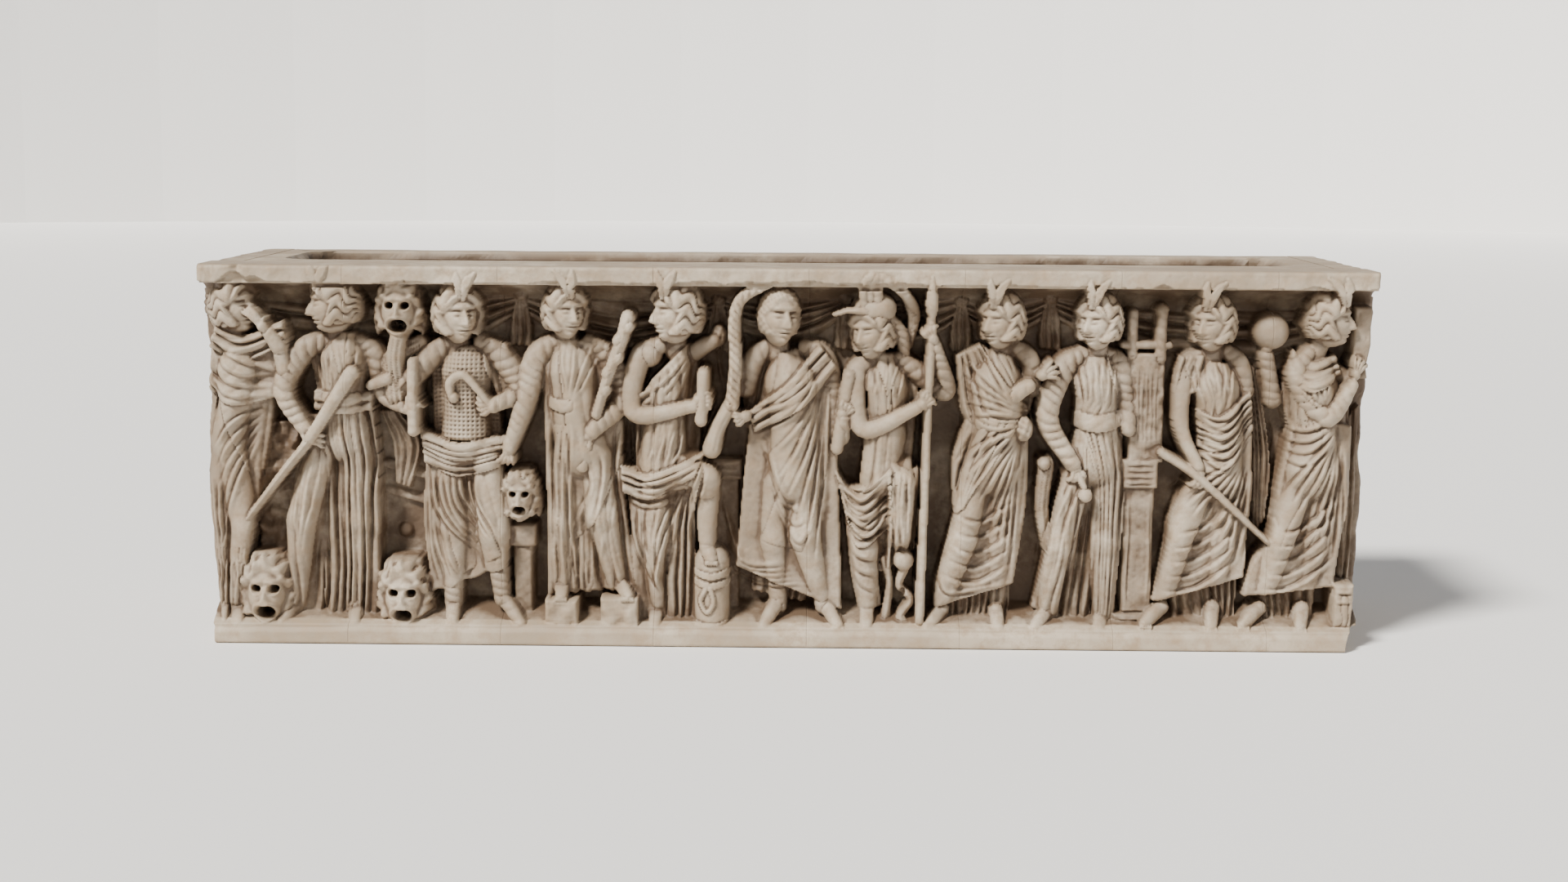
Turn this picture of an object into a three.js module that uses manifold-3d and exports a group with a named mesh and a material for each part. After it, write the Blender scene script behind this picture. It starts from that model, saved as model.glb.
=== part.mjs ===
// A Roman marble sarcophagus chest without its lid: a hollow stone trough whose front is carved in
// high relief with nine muses, a helmeted goddess and a man in a mantle, in front of a hung curtain.
// Millimetres, +Z up, the carved front faces -Y, the origin is the middle of the underside.
import * as THREE from "three";
import { mergeVertices } from "three/addons/utils/BufferGeometryUtils.js";
import Module from "manifold-3d";

const wasm = await Module();
wasm.setup();

// Driving dimensions of the stone trough.
const LENGTH = 2150;
const RIM_INSET = 20;
const LEDGE_INSET = 36;
const DEPTH = 560;
const HEIGHT = 690;
const RIM_HEIGHT = 34;
const LEDGE_HEIGHT = 33;
const RELIEF_DEPTH = 110;
const FRONT_WALL = 70;
const BACK_WALL = 78;
const END_WALL = 132;
const FLOOR_THICKNESS = 115;
const CAVITY_CORNER = 60;
const END_INSET = 46;
const FEATHER_RISE = 4;
const LEDGE_RISE = 38;
const HOLLOW_HEIGHT = 56;
const HOLLOW_DEPTH = 92;
const BROKEN_CORNER = 42;
const RIM_CHIP = 26;

// The relief is laid out on a squared grid, as a carver does: 1460 squares along the chest, 423 from
// the ledge to the rim, and 75 from the ground of the relief out to the plane of the rim.
const SQUARES_LONG = 1460;
const SQUARES_HIGH = 423;
const SQUARES_OUT = 75;
const PANEL_HEIGHT = HEIGHT - RIM_HEIGHT - LEDGE_HEIGHT;
const GROUND_Y = -DEPTH / 2 + FEATHER_RISE + RELIEF_DEPTH;
const RIM_Y = -DEPTH / 2 + FEATHER_RISE;
const ACROSS = LENGTH / SQUARES_LONG;
const UPWARD = PANEL_HEIGHT / SQUARES_HIGH;
const OUTWARD = RELIEF_DEPTH / SQUARES_OUT;

// How coarse the solids are: sides of round forms, and how deep a form is rooted in the ground.
const LIMB_SIDES = 5;
const HEAD_SIDES = 7;
const HEAD_RINGS = 5;
const ROD_SIDES = 4;
const FEW_FOLDS = 2;
const SOME_FOLDS = 5;
const ROOT = -6;
const FURTHEST_OUT = 75;

// Points are [across, up, out] in squares, from the middle of the chest, the ledge and the ground.
// trunk and legs are chains of [across, up, out, radius]; a drape hangs between two guide lines.
const FIGURES = [
  {
    name: "leaning_muse",
    head: [-674, 403, 47], turn: 50, hair: "curls",
    trunk: [[-664, 358, 36, 13], [-676, 317, 32, 27], [-684, 271, 30, 25], [-695, 225, 30, 29]],
    legs: [
      [[-706, 209, 30, 20], [-707, 128, 34, 17], [-707, 25, 34, 12]],
      [[-686, 210, 36, 20], [-670, 119, 44, 18], [-684, 26, 40, 12]],
    ],
    arms: [
      [[-619, 319, 50, 9], [-624, 350, 58, 8], [-645, 375, 66, 7]],
    ],
    feet: [[[-707, 15, 36], [-703, 1, 58]], [[-685, 14, 40], [-679, 1, 62]]],
    drapes: [
      { left: [[-719, 89], [-718, 17]], right: [[-665, 92], [-672, 20]], folds: 4, plane: 34 },
      { left: [[-716, 300], [-725, 226], [-723, 170], [-719, 67]],
        right: [[-642, 282], [-653, 211], [-658, 149], [-672, 77]], folds: 6, plane: 36 },
      { left: [[-709, 345], [-677, 340], [-625, 346]], right: [[-714, 296], [-677, 281], [-626, 287]],
        folds: 3, plane: 44, lift: 6 },
      { left: [[-695, 366], [-665, 354], [-620, 371]], right: [[-707, 346], [-666, 332], [-616, 351]],
        folds: 2, plane: 50, lift: 8 },
    ],
  },
  {
    name: "muse_with_flutes",
    head: [-556, 401, 48], turn: -62, hair: "bun",
    trunk: [[-541, 360, 38, 11], [-545, 329, 32, 30], [-547, 280, 32, 27], [-548, 230, 32, 31]],
    legs: [
      [[-573, 226, 36, 20], [-599, 130, 46, 19], [-609, 25, 36, 12]],
      [[-533, 225, 34, 20], [-532, 128, 36, 18], [-537, 21, 34, 12]],
    ],
    arms: [
      [[-594, 342, 36, 14], [-619, 288, 46, 12], [-586, 232, 62, 9]],
      [[-509, 337, 34, 13], [-497, 285, 36, 11], [-459, 270, 60, 9]],
    ],
    feet: [[[-609, 17, 36], [-621, 0, 60]], [[-537, 15, 38], [-534, 0, 62]]],
    drapes: [
      { left: [[-580, 269], [-574, 170], [-581, 13]], right: [[-511, 269], [-507, 170], [-509, 15]],
        folds: 6, plane: 46 },
      { left: [[-588, 252], [-608, 180], [-617, 113], [-619, 20]],
        right: [[-573, 252], [-567, 170], [-575, 87], [-585, 16]], folds: 3, plane: 36 },
      { left: [[-592, 355], [-586, 313], [-579, 282]], right: [[-503, 350], [-499, 313], [-509, 282]],
        folds: 5, plane: 34 },
      { left: [[-582, 291], [-546, 287], [-511, 291]], right: [[-582, 267], [-546, 263], [-509, 267]],
        folds: 1, plane: 46, lift: 5 },
      { left: [[-506, 262], [-491, 221], [-488, 178]], right: [[-488, 260], [-459, 224], [-472, 180]],
        folds: 3, plane: 18 },
    ],
    rods: [
      [[-535, 309, 68, 8], [-582, 235, 70, 6], [-671, 123, 56, 5]],
      [[-512, 297, 52, 6], [-491, 306, 52, 6]],
      [[-458, 324, 60, 6], [-457, 245, 64, 7]],
    ],
  },
  {
    name: "muse_in_knitted_coat",
    head: [-401, 390, 48], turn: 25, hair: "swept",
    trunk: [[-395, 351, 38, 11], [-394, 317, 32, 32], [-395, 271, 32, 28], [-396, 230, 32, 32]],
    legs: [
      [[-416, 210, 32, 20], [-411, 118, 36, 18], [-413, 25, 36, 13]],
      [[-369, 211, 38, 20], [-360, 114, 46, 20], [-355, 38, 38, 13]],
    ],
    arms: [
      [[-437, 333, 34, 15], [-478, 290, 42, 13], [-477, 353, 52, 11]],
      [[-352, 335, 34, 15], [-329, 292, 42, 13], [-359, 274, 62, 10]],
    ],
    feet: [[[-414, 24, 38], [-411, 1, 62]], [[-352, 35, 42], [-330, 3, 62]]],
    drapes: [
      { left: [[-432, 348], [-436, 303], [-434, 231]], right: [[-354, 345], [-360, 303], [-352, 231]],
        folds: 0, plane: 34, knit: true },
      { left: [[-373, 355], [-368, 318], [-360, 287]], right: [[-344, 346], [-329, 308], [-337, 283]],
        folds: 2, plane: 38, lift: 4 },
      { left: [[-447, 242], [-405, 224], [-344, 235]], right: [[-446, 207], [-404, 187], [-351, 200]],
        folds: 2, plane: 50, lift: 6 },
      { left: [[-446, 211], [-447, 129], [-439, 37]], right: [[-411, 198], [-380, 129], [-351, 70]],
        folds: 6, plane: 42 },
      { left: [[-414, 198], [-384, 134], [-354, 72]], right: [[-352, 203], [-342, 129], [-343, 72]],
        folds: 1, plane: 36 },
    ],
    rods: [[[-405, 287, 66, 6], [-410, 303, 66, 5], [-395, 312, 67, 6], [-377, 295, 68, 6],
      [-352, 260, 62, 5]]],
  },
  {
    name: "muse_with_club",
    head: [-272, 390, 48], turn: 30, hair: "bun",
    trunk: [[-267, 351, 38, 12], [-265, 317, 32, 33], [-261, 271, 32, 33], [-253, 220, 32, 36]],
    legs: [
      [[-275, 210, 34, 20], [-277, 128, 38, 18], [-278, 47, 36, 13]],
      [[-233, 211, 38, 20], [-227, 138, 48, 20], [-209, 51, 38, 13]],
    ],
    arms: [
      [[-308, 333, 36, 15], [-318, 282, 48, 13], [-341, 217, 58, 10]],
      [[-219, 332, 34, 15], [-201, 283, 42, 13], [-241, 239, 64, 10]],
    ],
    feet: [[[-278, 51, 38], [-277, 37, 60]], [[-208, 51, 40], [-194, 39, 62]]],
    drapes: [
      { left: [[-305, 345], [-299, 272], [-296, 170], [-295, 39]],
        right: [[-218, 350], [-207, 252], [-199, 149], [-187, 53]], folds: 8, plane: 40 },
      { left: [[-281, 340], [-280, 252], [-278, 170], [-273, 113]],
        right: [[-218, 345], [-203, 272], [-210, 211], [-222, 180]], folds: 3, plane: 46, lift: 4 },
    ],
    rods: [
      [[-196, 379, 58, 11], [-214, 320, 62, 9], [-232, 265, 66, 7]],
      [[-238, 242, 62, 6], [-249, 203, 62, 7]],
    ],
    blocks: [[[-297, -15, 10], [-256, 36, 68]], [[-229, -13, 10], [-181, 39, 70]]],
  },
  {
    name: "muse_on_scroll_box",
    head: [-136, 397, 48], turn: -50, hair: "bun",
    trunk: [[-134, 358, 38, 13], [-147, 322, 34, 30], [-149, 261, 34, 26], [-152, 200, 34, 31]],
    legs: [
      [[-162, 200, 36, 20], [-160, 108, 40, 18], [-160, 25, 36, 13]],
      [[-136, 199, 46, 18], [-101, 186, 58, 15], [-97, 98, 54, 10]],
    ],
    arms: [
      [[-180, 330, 42, 14], [-184, 263, 54, 12], [-107, 282, 68, 10]],
      [[-113, 340, 30, 12], [-90, 354, 38, 9]],
    ],
    feet: [[[-97, 95, 54], [-91, 83, 66]], [[-161, 19, 38], [-161, 0, 62]]],
    drapes: [
      { left: [[-169, 305], [-183, 272], [-177, 211]], right: [[-119, 350], [-108, 303], [-114, 211]],
        folds: 5, plane: 34 },
      { left: [[-201, 195], [-166, 189], [-106, 213]], right: [[-199, 157], [-166, 151], [-124, 177]],
        folds: 3, plane: 48, lift: 5 },
      { left: [[-199, 162], [-192, 108], [-188, 51], [-179, 14]],
        right: [[-126, 177], [-139, 118], [-146, 67], [-145, 16]], folds: 5, plane: 40 },
      { left: [[-118, 200], [-139, 149], [-146, 67], [-145, 20]],
        right: [[-102, 202], [-114, 149], [-113, 67], [-117, 18]], folds: 3, plane: 46 },
    ],
    rods: [
      [[-100, 315, 68, 8], [-104, 259, 68, 8]],
      [[-91, 222, 62, 11], [-81, 254, 64, 8], [-66, 280, 64, 9]],
      [[-66, 278, 64, 10], [-61, 335, 62, 8], [-64, 375, 62, 8], [-58, 407, 62, 7], [-24, 426, 60, 7]],
    ],
    drums: [[[-91, -6, 46], 82, 22]],
    blocks: [[[-89, 8, 2], [-58, 197, 22]], [[-99, 233, 2], [-72, 317, 28]]],
  },
  {
    name: "man_in_mantle",
    head: [-8, 392, 48], turn: 20, hair: "short",
    trunk: [[-1, 347, 38, 13], [6, 304, 34, 34], [11, 241, 34, 33], [11, 190, 34, 37]],
    legs: [
      [[-13, 180, 36, 20], [-15, 108, 42, 18], [-8, 27, 36, 12]],
      [[28, 180, 38, 20], [24, 115, 48, 20], [47, 28, 38, 12]],
    ],
    arms: [
      [[-24, 252, 46, 12], [-53, 263, 64, 10]],
      [[48, 329, 34, 15], [66, 238, 44, 12], [70, 268, 60, 10]],
    ],
    feet: [[[-8, 28, 38], [-25, -1, 60]], [[48, 26, 40], [66, 1, 62]]],
    drapes: [
      { left: [[-35, 345], [-51, 292], [-47, 253]], right: [[26, 348], [32, 303], [-5, 267]],
        folds: 4, plane: 34 },
      { left: [[-43, 249], [-51, 170], [-58, 79]], right: [[59, 328], [60, 211], [62, 108], [66, 23]],
        folds: 8, plane: 44 },
      { left: [[36, 347], [2, 306], [-45, 264]], right: [[59, 322], [21, 275], [-38, 242]],
        folds: 2, plane: 52, lift: 8 },
      { left: [[-42, 86], [-41, 43]], right: [[30, 74], [24, 32]], folds: 3, plane: 32 },
    ],
    rods: [[[76, 310, 56, 8], [63, 226, 56, 8]]],
  },
  {
    name: "helmeted_goddess",
    head: [105, 367, 46], turn: -35, hair: "helmet",
    trunk: [[120, 335, 38, 12], [121, 302, 34, 30], [122, 241, 34, 27], [112, 195, 34, 31]],
    legs: [
      [[99, 195, 36, 20], [98, 98, 40, 18], [102, 25, 36, 13]],
      [[122, 194, 46, 18], [144, 184, 58, 16], [142, 116, 54, 13]],
    ],
    arms: [
      [[85, 314, 44, 14], [95, 247, 56, 12], [167, 281, 69, 10]],
      [[159, 319, 34, 13], [196, 295, 38, 13], [179, 360, 62, 10]],
    ],
    feet: [[[102, 22, 38], [101, -1, 60]]],
    drapes: [
      { left: [[95, 330], [101, 282], [95, 211]], right: [[153, 335], [161, 292], [149, 211]],
        folds: 5, plane: 34 },
      { left: [[61, 192], [89, 181], [149, 213]], right: [[69, 144], [96, 138], [125, 177]],
        folds: 3, plane: 46, lift: 5 },
      { left: [[66, 172], [74, 118], [81, 67], [92, 26]],
        right: [[125, 180], [119, 118], [116, 67], [119, 28]], folds: 5, plane: 40 },
      { left: [[125, 190], [121, 129], [116, 77]], right: [[160, 196], [160, 129], [155, 107]],
        folds: 2, plane: 44 },
    ],
    rods: [
      [[176, 395, 66, 6], [167, 13, 62, 6]],
      [[176, 427, 66, 1.5], [176, 407, 66, 7], [176, 389, 66, 5]],
      [[123, 82, 40, 7], [123, -6, 44, 7]],
      [[149, 88, 50, 14], [146, 61, 46, 12], [149, 33, 44, 8], [146, -3, 50, 11]],
    ],
    blocks: [[[117, -16, 0], [162, 101, 20]]],
  },
  {
    name: "muse_in_crossed_mantle",
    head: [263, 382, 48], turn: -40, hair: "bun",
    trunk: [[264, 347, 38, 12], [259, 304, 34, 33], [262, 251, 34, 31], [254, 200, 34, 36]],
    legs: [
      [[234, 190, 38, 20], [217, 110, 48, 20], [195, 24, 38, 12]],
      [[271, 190, 34, 20], [266, 107, 36, 18], [263, 21, 36, 12]],
    ],
    arms: [
      [[250, 276, 50, 13], [314, 318, 66, 9]],
    ],
    feet: [[[196, 19, 38], [178, -1, 60]], [[263, 18, 40], [264, -2, 60]]],
    drapes: [
      { left: [[240, 345], [268, 303], [296, 274]], right: [[210, 338], [217, 272], [239, 253], [294, 257]],
        folds: 4, plane: 42, lift: 3 },
      { left: [[240, 347], [268, 307], [290, 277]], right: [[303, 340], [305, 303], [298, 269]],
        folds: 3, plane: 34 },
      { left: [[224, 261], [207, 211], [209, 144]], right: [[288, 259], [261, 223], [220, 157]],
        folds: 3, plane: 42 },
      { left: [[282, 257], [223, 198], [210, 136], [189, 66], [185, 27]],
        right: [[296, 259], [296, 170], [289, 108], [281, 59]], folds: 8, plane: 42 },
      { left: [[196, 48], [196, -3]], right: [[279, 69], [276, -4]], folds: 6, plane: 32 },
    ],
  },
  {
    name: "muse_with_plectrum",
    head: [382, 382, 48], turn: -35, hair: "bun",
    trunk: [[382, 345, 38, 12], [377, 304, 34, 31], [382, 256, 32, 27], [380, 210, 34, 33]],
    legs: [
      [[360, 190, 38, 20], [334, 105, 50, 20], [328, 24, 38, 12]],
      [[397, 190, 34, 20], [395, 107, 36, 18], [395, 17, 36, 12]],
    ],
    arms: [
      [[339, 322, 42, 14], [321, 264, 50, 13], [357, 199, 64, 10]],
      [[410, 329, 32, 13], [419, 281, 34, 11], [421, 249, 44, 9]],
    ],
    feet: [[[328, 19, 38], [310, -1, 60]], [[394, 15, 38], [389, -2, 60]]],
    drapes: [
      { left: [[348, 335], [357, 292], [357, 267]], right: [[410, 338], [419, 292], [409, 267]],
        folds: 5, plane: 34 },
      { left: [[356, 270], [382, 267], [409, 271]], right: [[357, 250], [382, 247], [409, 251]],
        folds: 1, plane: 44, lift: 5 },
      { left: [[361, 251], [378, 170], [383, 8]], right: [[414, 253], [417, 149], [407, 13]],
        folds: 6, plane: 44 },
      { left: [[359, 247], [337, 170], [326, 100], [310, 28]],
        right: [[373, 242], [386, 170], [384, 87], [377, 6]], folds: 3, plane: 36 },
    ],
    rods: [
      [[360, 192, 68, 5], [368, 172, 70, 9]],
      [[423, 347, 30, 6], [425, 388, 32, 6]],
      [[459, 340, 34, 7], [460, 386, 34, 7]],
      [[412, 352, 36, 5], [469, 352, 36, 5]],
    ],
    blocks: [
      [[422, 208, 2], [465, 343, 42]],
      [[420, 177, 2], [462, 213, 46]],
      [[421, 12, 2], [453, 185, 38]],
      [[412, -13, 2], [455, 21, 46]],
    ],
  },
  {
    name: "muse_with_globe",
    head: [521, 380, 48], turn: -35, hair: "bun",
    trunk: [[526, 343, 38, 12], [528, 302, 34, 30], [537, 241, 34, 27], [533, 190, 34, 33]],
    legs: [
      [[512, 180, 38, 20], [485, 114, 46, 19], [469, 26, 38, 12]],
      [[548, 179, 34, 20], [541, 107, 36, 18], [533, 27, 36, 12]],
    ],
    arms: [
      [[490, 323, 40, 14], [485, 256, 50, 11], [508, 196, 66, 10]],
      [[600, 288, 28, 13], [589, 350, 34, 11]],
    ],
    feet: [[[469, 24, 38], [447, 7, 58]], [[532, 24, 40], [527, 5, 60]]],
    drapes: [
      { left: [[493, 335], [503, 292], [505, 267]], right: [[557, 338], [564, 303], [563, 271]],
        folds: 5, plane: 34 },
      { left: [[504, 274], [530, 267], [567, 295]], right: [[510, 198], [547, 206], [572, 254]],
        folds: 4, plane: 46, lift: 3 },
      { left: [[510, 211], [479, 143], [473, 103], [458, 38]],
        right: [[571, 261], [573, 170], [569, 118], [567, 72]], folds: 8, plane: 40 },
      { left: [[564, 335], [577, 252], [581, 129]], right: [[579, 310], [598, 211], [595, 146]],
        folds: 3, plane: 24 },
      { left: [[481, 53], [485, 9]], right: [[563, 76], [560, 9]], folds: 6, plane: 32 },
    ],
    rods: [[[463, 221, 56, 6], [507, 192, 70, 5], [594, 112, 62, 4]]],
    balls: [[[594, 371, 34], 22]],
  },
  {
    name: "muse_with_tablet",
    head: [667, 386, 46], turn: 78, hair: "swept",
    trunk: [[654, 345, 36, 12], [648, 299, 34, 31], [651, 241, 34, 28], [648, 200, 34, 36]],
    legs: [
      [[634, 185, 38, 20], [611, 114, 46, 19], [591, 28, 38, 12]],
      [[665, 184, 34, 20], [657, 107, 36, 18], [645, 27, 36, 12]],
    ],
    arms: [
      [[631, 312, 46, 15], [666, 265, 56, 13], [699, 322, 62, 10]],
      [[681, 319, 30, 11], [698, 305, 34, 9]],
    ],
    feet: [[[590, 24, 38], [568, 5, 58]], [[643, 24, 40], [637, 3, 60]]],
    drapes: [
      { left: [[621, 330], [613, 292], [621, 257]], right: [[679, 330], [693, 292], [693, 249]],
        folds: 5, plane: 34 },
      { left: [[625, 262], [610, 190], [600, 118], [580, 84], [569, 47]],
        right: [[695, 253], [693, 170], [684, 108], [678, 61]], folds: 9, plane: 42 },
      { left: [[589, 55], [595, 7]], right: [[660, 66], [654, 7]], folds: 6, plane: 32 },
      { left: [[696, 261], [693, 149], [690, 64]], right: [[716, 279], [711, 129], [709, 67]],
        folds: 1, plane: 18 },
    ],
    blocks: [[[692, 313, 36], [719, 403, 48]]],
    drums: [[[690, 5, 42], 50, 17]],
  },
];

// Theatre masks: middle, half width, half height and how far out the face stands.
const MASKS = [
  { name: "mask_by_leaning_muse", at: [-644, 37, 34], wide: 33, high: 47 },
  { name: "mask_by_flutes", at: [-474, 34, 36], wide: 34, high: 45 },
  { name: "mask_held_up", at: [-476, 391, 46], wide: 33, high: 38 },
  { name: "bearded_mask_on_post", at: [-329, 161, 44], wide: 30, high: 38 },
];
const MASK_POST = [[-342, -9, 2], [-311, 104, 44]];
const MASK_POST_HEAD = [[-350, 94, 2], [-304, 125, 50]];
const ROCK = [[-657, 45, 0], [-606, 255, 26]];

// The curtain is gathered at these points, [across, up], and sags between them.
const CURTAIN_TIES = [[-732, 406], [-330, 414], [73, 412], [326, 414], [723, 406]];
const CURTAIN_DROP = 60;
const CURTAIN_SAG = 34;
const CURTAIN_OUT = 9;
const CURTAIN_FOLDS = 1;

// Where a point of the squared grid lies in the chest's own frame.
function place(across, up, out) {
  return new THREE.Vector3(
    across * ACROSS,
    GROUND_Y - Math.min(out, FURTHEST_OUT) * OUTWARD,
    LEDGE_HEIGHT + up * UPWARD,
  );
}

// A closed three.js geometry as a solid, with its faces turned outwards.
function solid(geometry) {
  const bare = geometry.index ? geometry.clone() : mergeVertices(geometry.clone());
  bare.deleteAttribute("normal");
  bare.deleteAttribute("uv");
  const merged = mergeVertices(bare, 1e-3);
  const triVerts = new Uint32Array(merged.index.array);
  const build = () =>
    new wasm.Manifold(
      new wasm.Mesh({ numProp: 3, vertProperties: merged.attributes.position.array, triVerts }),
    );
  const made = build();
  if (made.volume() >= 0) return made;
  for (let i = 0; i < triVerts.length; i += 3) {
    [triVerts[i + 1], triVerts[i + 2]] = [triVerts[i + 2], triVerts[i + 1]];
  }
  return build();
}

// Moves every vertex of a geometry to where a rule puts it.
function reshape(geometry, rule) {
  const position = geometry.attributes.position;
  const vertex = new THREE.Vector3();
  for (let i = 0; i < position.count; i++) {
    vertex.fromBufferAttribute(position, i);
    const moved = rule(vertex);
    position.setXYZ(i, moved.x, moved.y, moved.z);
  }
  return geometry;
}

// The point at share t of a guide line, which bends smoothly through its points.
function guideAt(points, t) {
  const curve = new THREE.SplineCurve(points.map((p) => new THREE.Vector2(p[0], p[1])));
  return curve.getPoint(t);
}

// How far out the body under the clothes stands at a point of the panel.
function bodyOut(figure, across, up) {
  let out = -Infinity;
  for (const chain of [figure.trunk, ...figure.legs]) {
    for (let i = 0; i + 1 < chain.length; i++) {
      const [ax, ay, aw, ar] = chain[i];
      const [bx, by, bw, br] = chain[i + 1];
      const [dx, dy] = [bx - ax, by - ay];
      const along = ((across - ax) * dx + (up - ay) * dy) / (dx * dx + dy * dy);
      const t = THREE.MathUtils.clamp(along, 0, 1);
      const gap = Math.hypot(across - ax - dx * t, up - ay - dy * t);
      const radius = ar + (br - ar) * t;
      const middle = aw + (bw - aw) * t;
      const inside = radius * radius - gap * gap;
      out = Math.max(out, inside > 0 ? middle + Math.sqrt(inside) : middle - (gap - radius));
    }
  }
  return out;
}

// A hung cloth between two guide lines: its folds run along the guides, and the body shows through.
function drape(figure, cloth) {
  const columns = cloth.folds <= FEW_FOLDS ? 2 : cloth.folds <= SOME_FOLDS ? 4 : 6;
  const rows = Math.min(cloth.left.length - 1, 2);
  const lift = 3 + (cloth.lift ?? 0);
  const ridge = cloth.folds > 3 ? 3 : 2;
  return solid(
    reshape(new THREE.BoxGeometry(1, 1, 1, columns, rows, 1), (vertex) => {
      const s = vertex.x + 0.5;
      const t = 0.5 - vertex.y;
      const point = guideAt(cloth.left, t).lerp(guideAt(cloth.right, t), s);
      if (vertex.z < 0) return place(point.x, point.y, ROOT);
      const column = Math.round(s * columns);
      const crest = column % 2 ? ridge : -ridge;
      const edge = column === 0 || column === columns ? 0.72 : 1;
      const out = Math.max(bodyOut(figure, point.x, point.y), cloth.plane) + lift;
      return place(point.x, point.y, (out + crest) * edge);
    }),
  );
}

// A round limb or rod that follows points of [across, up, out, radius].
function limb(points, sides = LIMB_SIDES) {
  const path = new THREE.CatmullRomCurve3(
    points.map(([across, up, out]) => place(across, up, out)),
  );
  const steps = points.length - 1;
  const frames = path.computeFrenetFrames(steps);
  return solid(
    reshape(new THREE.CylinderGeometry(1, 1, 1, sides, steps), (vertex) => {
      const step = Math.round((0.5 - vertex.y) * steps);
      const radius = points[step][3] * ACROSS;
      return path
        .getPoint(step / steps)
        .addScaledVector(frames.normals[step], vertex.x * radius)
        .addScaledVector(frames.binormals[step], vertex.z * radius);
    }),
  );
}

// An egg-shaped form of the given half sizes in squares, turned about the upright.
function egg(at, halves, turn = 0, sides = LIMB_SIDES, rings = 3) {
  const geometry = new THREE.SphereGeometry(1, sides, rings);
  geometry.rotateX(Math.PI / 2);
  geometry.scale(halves[0] * ACROSS, halves[2] * OUTWARD, halves[1] * UPWARD);
  geometry.rotateZ(THREE.MathUtils.degToRad(turn));
  const middle = place(...at);
  return solid(geometry.translate(middle.x, middle.y, middle.z));
}

// A plain block between two corners of the grid.
function block([low, high]) {
  const a = place(...low);
  const b = place(...high);
  const geometry = new THREE.BoxGeometry(b.x - a.x, a.y - b.y, b.z - a.z);
  return solid(geometry.translate((a.x + b.x) / 2, (a.y + b.y) / 2, (a.z + b.z) / 2));
}

// A head: one turned form for face, nose and hair, the knot, and the two feathers or a helmet.
const HEAD_HALF = 30;
const FACE_WIDTH = 21;
const FACE_DEPTH = 25;
const HAIR_SWELL = 1.16;
const JAW_TAPER = 0.22;
const NOSE_JUT = 1.22;
function skull(at, turn) {
  const geometry = new THREE.SphereGeometry(1, HEAD_SIDES, HEAD_RINGS);
  geometry.rotateX(Math.PI / 2);
  geometry.rotateZ(Math.PI / 2);
  reshape(geometry, (v) => {
    // -y is ahead and z is up: hair covers the crown, the sides and the back.
    const nose = v.y < -0.9 && v.z < 0;
    const swell = nose ? NOSE_JUT : v.y > -0.35 || v.z > 0.5 ? HAIR_SWELL : 1;
    const taper = v.z < 0 ? 1 + JAW_TAPER * v.z : 1;
    return new THREE.Vector3(v.x * FACE_WIDTH * swell * taper, v.y * FACE_DEPTH * swell, v.z * HEAD_HALF);
  });
  geometry.rotateZ(turn);
  geometry.scale(ACROSS, OUTWARD, UPWARD);
  const middle = place(...at);
  return solid(geometry.translate(middle.x, middle.y, middle.z));
}

function head(figure) {
  const [across, up, out] = figure.head;
  const turn = THREE.MathUtils.degToRad(figure.turn);
  const ahead = (distance, rise = 0) => [
    across + Math.sin(turn) * distance,
    up + rise,
    out + Math.cos(turn) * distance,
  ];
  const pieces = [
    skull(ahead(0), turn),
    limb([[across - Math.sin(turn) * 4, up - 16, out - 8, 13], figure.trunk[0]], ROD_SIDES),
  ];
  if (figure.hair === "helmet") {
    pieces.push(
      egg(ahead(0, 22), [23, 21, 27], figure.turn, HEAD_SIDES, 4),
      limb([[across - 4, up + 42, out + 4, 8], [across + 40, up + 50, out - 10, 10],
        [across + 50, up - 6, out - 22, 8]], 4),
    );
    return pieces;
  }
  if (figure.hair === "bun") pieces.push(egg(ahead(-30, -2), [9, 9, 10]));
  if (figure.hair === "swept") pieces.push(egg(ahead(-20, -6), [19, 12, 16], figure.turn));
  if (figure.hair !== "short") {
    const lean = Math.sign(figure.turn) * 14;
    const tip = Math.min(up + 48, SQUARES_HIGH + 14);
    pieces.push(limb([[across, up + 20, out + 8, 9], [across - lean, tip, out + 22, 5]], 3));
  }
  return pieces;
}

// A foot: heel and toes.
function foot([heel, toe]) {
  const sole = (at) => Math.max(at[1], (SQUARES_OUT - at[2]) * (LEDGE_RISE / RELIEF_DEPTH) + 6);
  return limb([[heel[0], sole(heel), heel[2], 11], [toe[0], sole(toe), toe[2], 9]]);
}

function figureSolids(figure) {
  const pieces = head(figure);
  for (const cloth of figure.drapes) pieces.push(drape(figure, cloth));
  for (const arm of figure.arms) pieces.push(limb(arm));
  for (const pair of figure.feet) pieces.push(foot(pair));
  for (const rod of figure.rods ?? []) pieces.push(limb(rod, ROD_SIDES));
  for (const corners of figure.blocks ?? []) pieces.push(block(corners));
  for (const [at, radius] of figure.balls ?? []) {
    pieces.push(egg(at, [radius, radius, radius], 0, 7, 5));
  }
  for (const [[across, up, out], tall, radius] of figure.drums ?? []) {
    pieces.push(limb([[across, up + tall, out, radius], [across, up, out, radius]], 7));
  }
  return pieces;
}

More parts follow.
